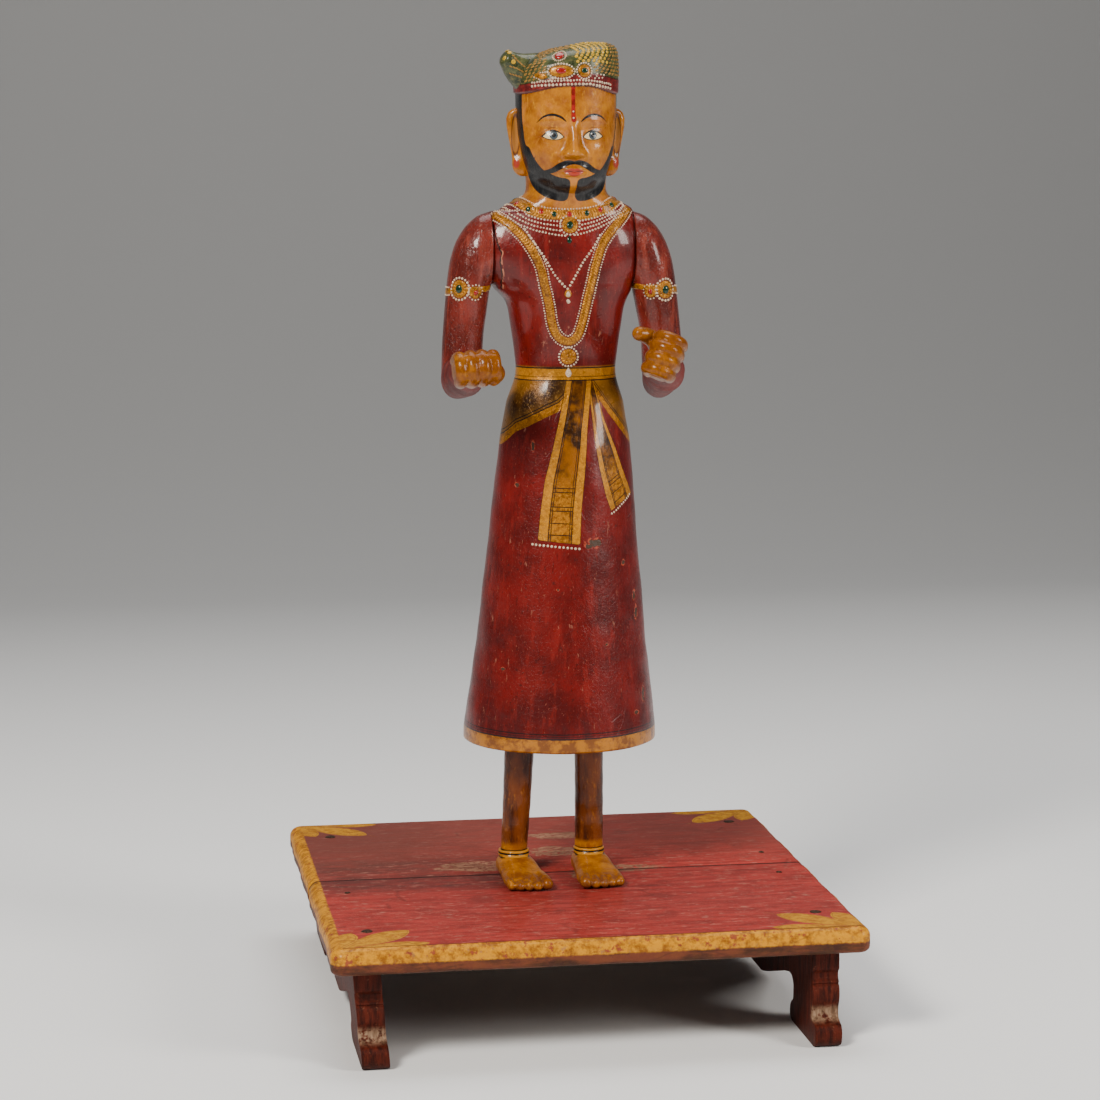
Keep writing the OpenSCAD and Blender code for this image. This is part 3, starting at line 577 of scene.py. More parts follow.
field("across1", lambda i: across(i, S1L, S1R), waist)
field("across2", lambda i: across(i, S2L, S2R), waist)
HEM = np.array([(-62, 252), (-53, 261), (-43, 273), (-32, 279), (-19, 286), (-8, 291), (5, 303), (20, 313), (29, 300), (38, 287), (47, 276), (56, 265), (64, 255)])
wrap_f = FZ - RZ - np.interp(FX, HEM[:, 0], HEM[:, 1])
wrap_b = FZ - RZ - (252 + 3 * np.cos(flat["th"] * 2))
sideways = ramp(FY, 4, 20)
A["wrap"] = np.r_[np.clip(wrap_f * (1 - sideways) + wrap_b * sideways, -60, 60), -60, -60]
A = {k: (v if len(v) == len(tv) else v[:len(tv)]) for k, v in A.items()}

GOLD_LIGHT, GOLD, GOLD_DARK = (0.60, 0.26, 0.012), (0.38, 0.140, 0.004), (0.12, 0.038, 0.002)
RED_C, RED_D, RED_L = (0.158, 0.0060, 0.0040), (0.072, 0.0032, 0.0025), (0.225, 0.014, 0.009)
OCHRE, OCHRE_D, OCHRE_L = (0.46, 0.160, 0.003), (0.21, 0.052, 0.001), (0.60, 0.25, 0.008)
BLACK = (0.006, 0.006, 0.007)


def aged_red(p, tone=(RED_C, RED_D, RED_L)):
    c, d, l = tone
    grain = p.noise(14, 6, 0.62, stretch=(1, 1, 0.16), seed=2.0)
    cloud = p.noise(2.6, 5, 0.6, seed=8.0)
    col = p.mix(p.span(cloud, 0.34, 0.68), d, c)
    col = p.mix(p.mul(p.span(grain, 0.50, 0.74), 0.65), col, l)
    col = p.mix(p.mul(p.span(p.noise(48, 4, 0.7, stretch=(1, 1, 0.10), seed=14.0), 0.56, 0.68), 0.55), col, (0.045, 0.003, 0.002))
    speck = p.span(p.noise(75, 3, 0.6, stretch=(1, 1, 0.5), seed=4.0), 0.64, 0.72)
    col = p.mix(p.mul(speck, 0.5), col, (0.36, 0.11, 0.07))
    scuff = p.span(p.noise(19, 6, 0.75, stretch=(1, 1, 0.25), seed=44.0), 0.635, 0.66)
    col = p.mix(p.mul(scuff, 0.55), col, (0.34, 0.13, 0.08))
    dirt = p.span(p.noise(26, 5, 0.65, seed=11.0), 0.60, 0.68)
    return p.mix(p.mul(dirt, 0.6), col, (0.025, 0.005, 0.004))


def aged_ochre(p, k=1.0):
    cloud = p.noise(6, 6, 0.62, seed=5.0)
    fine = p.noise(38, 5, 0.62, stretch=(1, 1, 0.4), seed=1.0)
    col = p.mix(p.span(cloud, 0.30, 0.66), OCHRE_D, OCHRE)
    col = p.mix(p.mul(p.span(fine, 0.52, 0.74), 0.7), col, OCHRE_L)
    stain = p.span(p.noise(13, 6, 0.7, seed=21.0), 0.58, 0.70)
    col = p.mix(p.mul(p.span(p.noise(3.4, 4, 0.6, seed=28.0), 0.46, 0.62), 0.30 * k), col, (0.22, 0.055, 0.004))
    return p.mix(p.mul(stain, 0.55 * k), col, (0.17, 0.042, 0.006))


def gesso(p, strength=0.3):
    """Brush-built gesso and lacquer: lumps, fine grain and a few hair cracks."""
    h = p.add(p.mul(p.noise(11, 4, 0.5, seed=7.0), 0.9), p.mul(p.noise(46, 3, 0.5, seed=3.0), 0.32))
    crack = p.span(p.cells(9, stretch=(1, 1, 0.35), wobble=2.5), 0.0, 0.035)
    crack = p.either(crack, p.span(p.noise(4, 3, 0.5, seed=31.0), 0.50, 0.62, 1.0, 0.0))
    fine = p.span(p.cells(34, stretch=(1, 1, 0.7), wobble=1.0), 0.0, 0.06)
    return p.add(p.add(h, p.mul(crack, 0.30)), p.mul(fine, 0.10)), strength


def gilt(name, hatch=False, tone=None):
    p = Paint(name)
    lo, mid, hi = tone or (GOLD_DARK, GOLD, GOLD_LIGHT)
    n = p.noise(22, 6, 0.62, seed=4.0)
    c = p.mix(p.span(n, 0.30, 0.60), lo, mid)
    c = p.mix(p.span(p.noise(60, 4, 0.6, seed=9.0), 0.48, 0.70), c, hi)
    h = p.add(p.mul(n, 0.6), p.mul(p.noise(90, 3, 0.6), 0.5))
    if hatch:
        v = p.attr("along")
        u = p.attr("across")
        wave = p.f("SINE", p.add(p.mul(v, 2.6), p.mul(p.f("ABSOLUTE", u), 5.0)))
        h = p.add(h, p.mul(wave, 0.35))
        c = p.mix(p.mul(p.span(wave, 0.0, 1.0), 0.45), c, lo)
    return p.done(c, 0.34, metal=0.35, coat=0.45, coat_rough=0.12, normal=p.bump(h, 0.5, 0.0008))


# ---- the painted log
p = Paint("robe_head_paint")
px, py, pz = p.xyz()
w1 = p.mul(p.add(p.noise(30, 3, 0.5, seed=3.0), -0.5), 0.9)
w2 = p.mul(p.add(p.noise(55, 3, 0.5, seed=6.0), -0.5), 0.45)
robe = aged_red(p)
skin = aged_ochre(p, 0.8)
gold_n = p.noise(24, 6, 0.62, seed=14.0)
gold = p.mix(p.span(gold_n, 0.34, 0.62), (0.17, 0.052, 0.003), (0.42, 0.155, 0.005))
gold = p.mix(p.span(p.noise(70, 4, 0.6, seed=2.0), 0.50, 0.72), gold, GOLD_LIGHT)
# smoky dark paint on the waist cloth, partly painted shade: the cloth is darker at the front than at the back
smoke_and_shade = p.span(p.add(p.noise(3.0, 3, 0.45, seed=17.0), p.span(py, -5, 25, 0.0, 0.14)), 0.34, 0.62)
cloth = p.mix(smoke_and_shade, (0.030, 0.011, 0.003), (0.30, 0.120, 0.010))
cloth = p.mix(p.mul(p.span(p.noise(50, 4, 0.6, seed=12.0), 0.5, 0.75), 0.5), cloth, (0.40, 0.21, 0.05))
col = robe
# worn front of the skirt and the dirt along the hem
low = p.span(pz, RZ + 60, RZ + 10)
col = p.mix(p.mul(low, p.span(p.noise(7, 5, 0.6, stretch=(1, 1, 0.2), seed=3.3), 0.45, 0.7)), col, (0.06, 0.006, 0.006))
wrap = p.add(p.attr("wrap"), w1)
is_wrap = p.mul(p.span(wrap, -0.3, 0.3), p.span(pz, RZ + 330, RZ + 328))
col = p.mix(is_wrap, col, cloth)
col = p.mix(p.mul(is_wrap, p.span(wrap, 7.8, 7.2)), col, gold)
lines = p.either(p.line(wrap, 7.6, 0.45), p.line(wrap, 10.2, 0.4))
col = p.mix(p.mul(is_wrap, lines), col, BLACK)
for name, ac in (("sash2", "across2"), ("sash1", "across1")):
    d = p.add(p.attr(name), w2)
    a = p.attr(ac)
    m = p.inside(d, 0.3)
    shade = p.mix(p.span(p.noise(4.5, 4, 0.5, seed=23.0 if name == "sash1" else 29.0), 0.40, 0.60), (0.030, 0.009, 0.001), (0.25, 0.078, 0.002))
    body = p.mix(p.mul(p.span(gold_n, 0.44, 0.70), 0.45), shade, (0.27, 0.090, 0.002))
    tail = p.span(pz, RZ + 245, RZ + 215) if name == "sash1" else p.span(pz, RZ + 255, RZ + 235)
    body = p.mix(p.mul(tail, 0.8), body, gold)
    edge = p.either(p.span(a, 0.215, 0.205), p.span(a, 0.80, 0.81))
    cloth1 = p.mix(edge, body, p.mix(0.25, gold, GOLD_LIGHT))
    ln = p.either(p.line(a, 0.235, 0.013, 0.012), p.line(a, 0.285, 0.010, 0.010), p.line(a, 0.775, 0.013, 0.012), p.line(a, 0.725, 0.010, 0.010))
    mid = p.mul(p.span(a, 0.23, 0.25), p.span(a, 0.79, 0.77))
    slope = p.mul(px, 0.04) if name == "sash1" else p.mul(px, -0.62)
    zz = p.add(p.add(pz, slope), w2)
    rows = (226, 222.5, 210, 206.5, 196, 186) if name == "sash1" else (208, 204.5, 196, 187, 179)
    cross = None
    for k in rows:
        c_ = p.line(zz, RZ + k, 0.42, 0.25)
        cross = c_ if cross is None else p.either(cross, c_)
    ln = p.either(ln, p.mul(cross, mid), p.line(d, 0.0, 0.35, 0.25))
    cloth1 = p.mix(ln, cloth1, (0.016, 0.007, 0.004))
    col = p.mix(m, col, cloth1)
belt = p.mul(p.span(p.add(pz, w2), RZ + 317.6, RZ + 318.2), p.span(p.add(pz, w2), RZ + 327.4, RZ + 326.8))
col = p.mix(belt, col, p.mix(0.3, gold, GOLD_LIGHT))
col = p.mix(p.either(p.line(p.add(pz, w2), RZ + 317.3, 0.45), p.line(p.add(pz, w2), RZ + 327.9, 0.5), p.line(p.add(pz, w2), RZ + 320.4, 0.22)), col, BLACK)
hem = p.span(p.add(pz, w1), RZ + 12.4, RZ + 11.8)
hem_gold = p.mix(p.span(p.noise(10, 6, 0.65, seed=41.0), 0.40, 0.58), (0.20, 0.058, 0.002), (0.46, 0.165, 0.003))
col = p.mix(hem, col, hem_gold)
col = p.mix(p.either(p.line(p.add(pz, w1), RZ + 12.8, 0.5), p.line(p.add(pz, w1), RZ + 17.0, 0.38), p.line(p.add(pz, w1), RZ + 14.9, 0.18)), col, BLACK)
# skin from the neck up
rise = p.span(py, -4, 16, 0.0, 9.0)
neck_r = p.f("SQRT", p.add(p.f("POWER", p.add(px, -HEAD_X), 2.0), p.f("POWER", p.add(py, -5.0), 2.0)))
neck = p.mul(p.span(p.add(p.add(pz, w1), p.mul(rise, -1)), SZ + 25.6, SZ + 26.4), p.span(neck_r, 44.5, 43.5))
neck = p.either(neck, p.span(pz, SZ + 42, SZ + 43))
skin = p.mix(p.mul(p.inside(p.attr("brow"), 0.3), 0.0), skin, skin)
blush = p.span(p.noise(9, 4, 0.6, seed=51.0), 0.5, 0.72)
fc = p.mix(p.mul(blush, 0.35), skin, (0.62, 0.22, 0.06))
fc = p.mix(p.inside(p.add(p.attr("eye"), 0.1), 0.2), fc, (0.74, 0.56, 0.30))
iris = p.mul(p.span(p.attr("iris"), 3.7, 3.4), p.inside(p.attr("eye"), 0.15))
fc = p.mix(iris, fc, p.mix(p.span(p.attr("iris"), 3.5, 2.9), (0.012, 0.013, 0.016), (0.050, 0.070, 0.085)))
fc = p.mix(p.mul(iris, p.span(p.attr("iris"), 1.95, 1.7)), fc, (0.003, 0.003, 0.004))
fc = p.mix(p.mul(iris, p.span(p.attr("glint"), 0.75, 0.5)), fc, (0.80, 0.78, 0.72))
fc = p.mix(p.either(p.line(p.attr("eye"), 0.0, 0.32, 0.16), p.inside(p.attr("lash"), 0.2)), fc, BLACK)
fc = p.mix(p.mul(p.inside(p.attr("lid"), 0.2), 0.75), fc, (0.10, 0.035, 0.012))
fc = p.mix(p.inside(p.attr("brow"), 0.22), fc, BLACK)
fc = p.mix(p.inside(p.attr("lip"), 0.25), fc, (0.36, 0.035, 0.018))
fc = p.mix(p.inside(p.attr("mouth"), 0.25), fc, (0.07, 0.008, 0.006))
green_n0 = p.noise(20, 4, 0.6, seed=72.0)
hair_n = p.noise(40, 3, 0.5, stretch=(1.6, 1.6, 0.3), seed=61.0)
black = p.mix(p.span(hair_n, 0.45, 0.75), (0.005, 0.005, 0.006), (0.022, 0.021, 0.021))
worn = p.mul(p.span(p.noise(30, 5, 0.65, seed=66.0), 0.60, 0.70), p.span(pz, EYE_Z - 12, EYE_Z + 14))
black = p.mix(p.mul(worn, 0.5), black, (0.12, 0.07, 0.03))
fc = p.mix(p.either(p.inside(p.attr("beard"), 0.3, w2), p.inside(p.attr("tache"), 0.25), p.inside(p.attr("hair"), 0.4, w1)), fc, black)
fc = p.mix(p.inside(p.attr("tilak"), 0.3, w2), fc, p.mix(p.span(green_n0, 0.4, 0.6), (0.16, 0.006, 0.004), (0.34, 0.012, 0.008)))
# turban
green_n = p.noise(18, 5, 0.6, seed=71.0)
green = p.mix(p.span(green_n, 0.34, 0.66), (0.018, 0.028, 0.010), (0.075, 0.085, 0.028))
green = p.mix(p.mul(p.span(p.noise(48, 4, 0.6, stretch=(0.5, 0.5, 1.6), seed=77.0), 0.50, 0.72), 0.6), green, (0.20, 0.15, 0.05))
band_c = p.mix(p.span(p.noise(26, 4, 0.6, seed=81.0), 0.40, 0.70), (0.085, 0.008, 0.008), (0.22, 0.020, 0.016))
e = p.add(p.attr("edge"), w2)
tb = p.mix(p.span(e, 8.4, 8.9), band_c, green)
fc = p.mix(p.span(e, -0.4, 0.1), fc, tb)
fc = p.mix(p.line(e, -0.5, 0.45), fc, (0.05, 0.006, 0.004))
fc = p.mix(p.line(e, 8.7, 0.4), fc, (0.02, 0.012, 0.005))
col = p.mix(neck, col, fc)
pits = None
for cx_, cz_, rx_, rz_ in ((21, 179, 6.5, 3.4), (16, 176.5, 3.6, 1.8), (-43, 228, 1.6, 1.8), (59, 130, 1.4, 4.0), (60.5, 115, 1.6, 5.0), (-30, 262, 1.2, 4.5), (66, 44, 1.3, 7.0),
                           (58, 30, 2.2, 1.6), (-58, 70, 1.6, 1.2), (30, 92, 1.4, 1.0), (-12, 140, 1.2, 0.9), (48, 160, 1.5, 2.4)):
    a_ = p.mul(p.add(px, -cx_), 1.0 / rx_)
    b_ = p.mul(p.add(pz, -(RZ + cz_)), 1.0 / rz_)
    q_ = p.add(p.f("SQRT", p.add(p.mul(a_, a_), p.mul(b_, b_))), p.mul(p.add(w1, w2), 1.5))
    pits = q_ if pits is None else p.f("MINIMUM", pits, q_)
pits = p.add(pits, p.span(py, -12, -4, 0.0, 9.0))
col = p.mix(p.mul(p.span(pits, 1.45, 1.15), p.span(p.noise(24, 4, 0.6, seed=111.0), 0.44, 0.54)), col, (0.38, 0.060, 0.024))
col = p.mix(p.span(pits, 1.0, 0.8), col, (0.055, 0.030, 0.018))
tear_w = p.add(p.mul(p.add(p.noise(7, 4, 0.6, seed=101.0), -0.5), 9.0), p.add(p.mul(p.span(pz, SZ + 4, SZ - 34), -3.5), p.mul(p.span(pz, SZ - 2, SZ + 24), 4.2)))
tear = p.add(p.add(px, 58.0), tear_w)
on_tear = p.mul(p.span(py, 2, -3), p.mul(p.span(pz, SZ - 40, SZ - 36), p.span(pz, SZ + 31, SZ + 27)))
lip = p.mul(p.line(tear, 1.1, 0.8, 0.4), p.mul(p.mul(on_tear, p.span(pz, SZ + 8, SZ - 2)), p.span(p.noise(20, 4, 0.6, seed=107.0), 0.46, 0.54)))
col = p.mix(lip, col, (0.42, 0.15, 0.085))
tear_l = p.mul(p.line(tear, 0.0, 0.55, 0.35), on_tear)
col = p.mix(tear_l, col, (0.012, 0.004, 0.003))
h, k = gesso(p)
h = p.add(h, p.add(p.mul(p.span(pits, 1.1, 0.8), -0.9), p.add(p.mul(tear_l, -0.9), p.mul(lip, 0.5))))
is_gold = p.mul(p.either(is_wrap, belt, hem), 0.3)
TRUNK_MAT = p.done(col, p.add(0.20, p.mul(p.noise(16, 4, 0.6, seed=91.0), 0.22)), metal=is_gold,
                   coat=p.span(p.attr("edge"), -1.0, 3.0, 0.40, 0.14), coat_rough=0.10, normal=p.bump(h, k, 0.0016))

p = Paint("sleeve_paint")
h, k = gesso(p)
SLEEVE = p.done(aged_red(p, ((0.190, 0.020, 0.012), (0.080, 0.008, 0.005), (0.31, 0.05, 0.028))), 0.26, coat=0.75, coat_rough=0.10, normal=p.bump(h, 0.6, 0.002))
p = Paint("sleeve_and_hand_paint")
h, k = gesso(p)
al = p.add(p.attr("along"), p.mul(p.add(p.noise(22, 4, 0.6, seed=3.0), -0.5), 3.0))
c = p.mix(p.span(al, 75.6, 76.4), aged_red(p, ((0.165, 0.016, 0.012), (0.075, 0.007, 0.006), (0.27, 0.04, 0.026))), p.mix(p.span(p.noise(16, 5, 0.65, seed=33.0), 0.36, 0.64, 0.86, 0.42), aged_ochre(p, 1.8), (0.145, 0.038, 0.002)))
FORE = p.done(c, p.span(al, 70, 80, 0.55, 0.30), coat=p.span(al, 70, 80, 0.10, 0.30), coat_rough=0.16, spec=0.10, normal=p.bump(h, 0.38, 0.002))
p = Paint("painted_skin_lacquer")
px, py, pz = p.xyz()
h, k = gesso(p)
c = aged_ochre(p, 1.4)
legs = p.mix(p.span(p.noise(9, 6, 0.62, stretch=(1, 1, 0.25), seed=6.0), 0.34, 0.62), (0.040, 0.007, 0.001), (0.17, 0.038, 0.001))
legs = p.mix(p.mul(p.span(p.noise(34, 5, 0.6, stretch=(1, 1, 0.4), seed=8.0), 0.56, 0.74), 0.5), legs, (0.42, 0.14, 0.006))
c = p.mix(p.span(pz, BT + 26, BT + 32), c, legs)
ank = p.add(pz, p.mul(p.add(p.noise(14, 3, 0.5), -0.5), 1.2))
lx_ = p.add(p.f("ABSOLUTE", p.add(px, 7.75)), -33.75)
near = p.span(p.f("SQRT", p.add(p.mul(lx_, lx_), p.f("POWER", p.add(py, -6.0), 2.0))), 16.6, 15.8)
c = p.mix(p.mul(near, p.mul(p.span(ank, BT + 16.8, BT + 17.4), p.span(ank, BT + 23.0, BT + 22.4))), c, (0.50, 0.20, 0.010))
c = p.mix(p.mul(near, p.either(p.line(ank, BT + 19.9, 0.8), p.line(ank, BT + 16.5, 0.45), p.line(ank, BT + 23.0, 0.45))), c, (0.010, 0.004, 0.002))
toes = p.mul(p.span(py, -42, -54), p.span(p.noise(20, 6, 0.7, seed=15.0), 0.40, 0.56))
c = p.mix(p.mul(toes, 0.75), c, (0.15, 0.045, 0.016))
# painted shade: the lowest 4 mm of the feet, where they stand on the board, are darkened
foot_contact_shade = p.mul(p.span(pz, BT + 4, BT + 1), p.span(pz, 0, BT))
c = p.mix(p.mul(foot_contact_shade, 0.7), c, (0.05, 0.018, 0.008))
SKIN = p.done(c, 0.32, spec=0.15, coat=0.5, coat_rough=0.12, normal=p.bump(h, 0.5, 0.002))


def wood(name, a, b, c, rough=0.7):
    p = Paint(name)
    g = p.noise(26, 6, 0.62, stretch=(0.12, 1.4, 1.0), seed=3.0)
    col = p.mix(p.span(g, 0.32, 0.62), b, a)
    col = p.mix(p.mul(p.span(p.noise(80, 3, 0.6, seed=5.0), 0.5, 0.75), 0.4), col, c)
    return p.done(col, rough, normal=p.bump(g, 0.35, 0.001))


WOOD = wood("bare_wood", (0.42, 0.27, 0.14), (0.24, 0.13, 0.06), (0.50, 0.36, 0.20))
p = Paint("nail_iron")
n = p.noise(60, 5, 0.6)
IRON = p.done(p.mix(p.span(n, 0.35, 0.65), (0.018, 0.012, 0.009), (0.075, 0.035, 0.018)), 0.62, metal=0.35, normal=p.bump(n, 0.5, 0.0008))
GILT, GILT_HATCH = gilt("gilt"), gilt("gilt_hatched", True)


def enamel(name, c, rough=0.12, coat=1.0):
    p = Paint(name)
    n = p.noise(60, 3, 0.5)
    return p.done(p.mix(p.span(n, 0.3, 0.7), tuple(0.55 * x for x in c), c), rough, coat=coat, coat_rough=0.05)


# ---- bench: dusty red with a mustard border, three petals in each corner, worn through in places
p = Paint("bench_paint")
px, py, pz = p.xyz()
wa = p.mul(p.add(p.noise(7, 4, 0.6, seed=3.0), -0.5), 5.0)
wb = p.mul(p.add(p.noise(34, 4, 0.6, seed=9.0), -0.5), 2.4)
streak = p.noise(9, 6, 0.65, stretch=(0.22, 1.6, 1.0), seed=1.0)
fine = p.noise(60, 4, 0.65, stretch=(0.25, 1.4, 1), seed=6.0)
col = p.mix(p.span(streak, 0.34, 0.66), (0.230, 0.018, 0.014), (0.400, 0.036, 0.028))
col = p.mix(p.mul(p.span(fine, 0.50, 0.72), 0.4), col, (0.46, 0.12, 0.090))
# the rear left of the boards is darker and greyer, with a sooty patch along the joint
left = p.mul(p.span(p.add(px, p.mul(py, -0.25)), -20, -190), p.span(py, -60, 60))
soot = p.mul(p.span(p.add(px, p.mul(wa, 6)), 0, -60), p.mul(p.span(p.add(py, p.mul(wa, 1.5)), -62, -24), p.span(p.add(py, p.mul(wa, 2)), 90, 50)))
col = p.mix(p.mul(left, 0.55), col, (0.150, 0.045, 0.034))
col = p.mix(p.mul(soot, p.span(p.noise(12, 5, 0.65, stretch=(0.3, 1, 1), seed=13.0), 0.30, 0.62, 0.3, 0.8)), col, (0.075, 0.024, 0.020))
blot = p.span(p.noise(3.6, 5, 0.6, seed=19.0), 0.54, 0.64)
col = p.mix(p.mul(blot, 0.45), col, (0.170, 0.020, 0.016))
dust = p.span(p.noise(20, 6, 0.72, stretch=(0.4, 1.3, 1), seed=23.0), 0.56, 0.66)
col = p.mix(p.mul(dust, 0.5), col, (0.46, 0.22, 0.16))
wear = p.span(p.noise(38, 6, 0.78, stretch=(0.35, 1.3, 1), seed=29.0), 0.62, 0.66)
col = p.mix(p.mul(wear, 0.6), col, (0.50, 0.30, 0.22))
dark = p.span(p.noise(15, 6, 0.75, stretch=(0.25, 1.3, 1), seed=33.0), 0.60, 0.66)
col = p.mix(p.mul(dark, 0.55), col, (0.085, 0.022, 0.018))


def patch(cx, cy, rx, ry, wob=7.0):
    dx = p.mul(p.add(px, -cx), 1.0 / rx)
    dy = p.mul(p.add(py, -cy), 1.0 / ry)
    r2 = p.f("SQRT", p.add(p.mul(dx, dx), p.mul(dy, dy)))
    return p.span(p.add(r2, p.mul(wa, wob * 0.03)), 1.08, 0.92)


bare = p.mix(p.span(p.noise(30, 6, 0.65, stretch=(0.2, 1.5, 1), seed=31.0), 0.36, 0.64), (0.14, 0.050, 0.028), (0.36, 0.18, 0.105))
rear = p.mul(p.span(py, -20, 130), 0.60)
col = p.mix(rear, col, (0.135, 0.042, 0.030))
bare_at = p.either(patch(22, 138, 30, 12), patch(-64, 34, 44, 18), patch(56, 8, 36, 13), patch(8, 78, 24, 18), patch(22, -12, 14, 26))
keep = p.span(p.noise(24, 5, 0.7, seed=37.0), 0.40, 0.50)
col = p.mix(p.mul(bare_at, keep), col, bare)
# painted shade: a soft dark patch on the boards under the skirt, around and behind the figure's feet
shade_under_figure = p.mul(p.either(patch(-10, 40, 118, 56, 12), patch(0, 0, 1, 1)), 0.3)
col = p.mix(p.mul(shade_under_figure, p.span(p.noise(18, 5, 0.7, seed=39.0), 0.45, 0.62)), col, (0.11, 0.03, 0.022))
# mustard border and corner petals
ax, ay = p.f("ABSOLUTE", px), p.f("ABSOLUTE", py)
front_e = p.span(p.add(py, p.mul(wb, 1.0)), -HY + 8.6, -HY + 7.6)
left_e = p.span(p.add(px, p.mul(wb, 1.2)), -HX + 11.5, -HX + 10.0)
right_e = p.span(p.add(p.mul(px, -1), wb), -HX + 5.5, -HX + 4.5)
back_e = p.span(p.add(p.mul(py, -1), wb), -HY + 5.0, -HY + 4.0)
border = p.either(front_e, left_e, right_e, back_e)
mn = p.noise(16, 6, 0.65, seed=43.0)
mustard = p.mix(p.span(mn, 0.34, 0.62), (0.25, 0.080, 0.002), (0.62, 0.255, 0.002))
mustard = p.mix(p.mul(p.span(p.noise(50, 4, 0.6, seed=47.0), 0.52, 0.74), 0.6), mustard, (0.68, 0.33, 0.010))


def petal(tx, ty, wide):
    """A petal from the corner (HX, HY) to the tip (tx, ty), in the folded quarter."""
    c = np.array([HX - 3.0, HY - 3.0])
    e = np.array([tx, ty]) - c
    ln = np.linalg.norm(e)
    e = e / ln
    dx, dy = p.add(ax, -c[0]), p.add(ay, -c[1])
    a = p.mul(p.add(p.mul(dx, e[0]), p.mul(dy, e[1])), 1.0 / ln)
    b = p.add(p.mul(dx, -e[1]), p.mul(dy, e[0]))
    prof = p.f("SINE", p.mul(p.f("POWER", p.f("MAXIMUM", p.f("MINIMUM", a, 1.0), 0.0), 1.7), math.pi))
    prof = p.mul(p.f("POWER", p.f("MAXIMUM", prof, 0.0), 0.7), wide)
    return p.add(p.f("ABSOLUTE", b), p.mul(prof, -1))


petals = [petal(143, HY - 15, 10.0), petal(156, 168, 13.0), petal(HX - 21, 170, 10.0)]
pm = p.either(*[p.span(p.add(q, p.mul(wb, 0.5)), 0.4, -0.4) for q in petals])
pm = p.mul(pm, p.mul(p.span(ax, 138, 142), p.span(ay, 160, 164)))
pn = p.mix(p.span(mn, 0.34, 0.62), (0.36, 0.135, 0.004), (0.58, 0.26, 0.008))
pl = p.either(*[p.line(q, -1.8, 0.45, 0.35) for q in petals])
pn = p.mix(p.mul(pl, 0.6), pn, (0.20, 0.07, 0.012))
chip = p.span(p.noise(18, 6, 0.72, seed=53.0), 0.60, 0.645)
col = p.mix(p.mul(pm, p.span(p.noise(30, 5, 0.7, seed=57.0), 0.66, 0.60)), col, pn)
col = p.mix(p.mul(p.line(p.add(py, p.mul(wb, 1.0)), -HY + 9.2, 0.7), p.span(ax, HX - 4, HX - 8)), col, (0.10, 0.03, 0.010))
col = p.mix(border, col, mustard)
red_chip = p.span(p.noise(13, 6, 0.7, seed=59.0), 0.585, 0.615)
col = p.mix(p.mul(border, p.mul(red_chip, 0.85)), col, (0.24, 0.035, 0.022))
col = p.mix(p.mul(border, p.mul(chip, 0.7)), col, (0.34, 0.15, 0.060))
# the lower edge of the boards is dark, the underside bare and dusty
low = p.span(p.add(pz, wb), UNDER + 10.8, UNDER + 8.8)
col = p.mix(p.mul(low, 0.96), col, p.mix(p.span(streak, 0.4, 0.6), (0.035, 0.010, 0.006), (0.13, 0.030, 0.014)))
under = p.span(pz, UNDER + 0.9, UNDER + 0.4)
col = p.mix(under, col, p.mix(p.span(streak, 0.35, 0.65), (0.07, 0.035, 0.018), (0.16, 0.09, 0.05)))
joint = p.mul(p.span(p.f("ABSOLUTE", p.add(p.add(py, -3.0), p.mul(wb, 0.4))), 3.2, 0.8), 0.85)
col = p.mix(joint, col, (0.020, 0.008, 0.007))
scr = p.mul(p.line(p.cells(1.5, stretch=(0.35, 2.2, 1), wobble=6.0), 0.0, 0.006, 0.006), 0.32)
col = p.mix(scr, col, (0.035, 0.012, 0.010))
h = p.add(p.mul(streak, 0.7), p.add(p.mul(fine, 0.35), p.mul(p.either(p.mul(bare_at, keep), p.mul(border, chip)), -0.35)))
BENCH = p.done(col, p.add(0.50, p.mul(streak, 0.25)), spec=0.14, coat=p.span(py, 0, -120, 0.05, 0.16), coat_rough=0.22, normal=p.bump(h, 0.5, 0.0012))

p = Paint("end_board_paint")
px, py, pz = p.xyz()
g = p.noise(22, 6, 0.66, stretch=(1.2, 1.0, 0.14), seed=3.0)
g2 = p.noise(60, 5, 0.7, stretch=(1.2, 1.2, 0.2), seed=4.0)
col = p.mix(p.span(g, 0.34, 0.64), (0.022, 0.003, 0.001), (0.085, 0.011, 0.004))
col = p.mix(p.mul(p.span(g2, 0.56, 0.74), 0.4), col, (0.17, 0.035, 0.014))
outer = p.f("ABSOLUTE", py)
worn = p.mul(p.span(pz, 19, 24), p.mul(p.span(pz, 36, 28), p.span(outer, 196, 203)))
worn = p.mul(worn, p.span(p.noise(14, 6, 0.7, seed=9.0), 0.40, 0.52))
col = p.mix(p.mul(worn, 0.6), col, p.mix(p.span(g, 0.35, 0.65), (0.20, 0.11, 0.06), (0.50, 0.35, 0.22)))
dirt = p.span(p.add(pz, p.mul(g2, 10)), 16, 4)
col = p.mix(p.mul(dirt, 0.6), col, (0.035, 0.012, 0.008))
chips = p.span(p.noise(24, 6, 0.7, seed=15.0), 0.62, 0.66)
col = p.mix(p.mul(chips, 0.5), col, (0.22, 0.08, 0.04))
ENDS = p.done(col, 0.6, spec=0.12, coat=0.04, coat_rough=0.3, normal=p.bump(p.add(p.mul(g, 0.8), p.mul(g2, 0.4)), 0.55, 0.0016))

PEARL = enamel("pearl_dots", (0.74, 0.56, 0.40), 0.35, 0.4)
RUBY, EMERALD = enamel("ruby_paint", (0.36, 0.012, 0.010)), enamel("emerald_paint", (0.006, 0.035, 0.016))
YELLOW = enamel("yellow_dabs", (0.62, 0.36, 0.015), 0.4, 0.4)
DASH = enamel("ochre_dabs", (0.33, 0.165, 0.030), 0.5, 0.25)

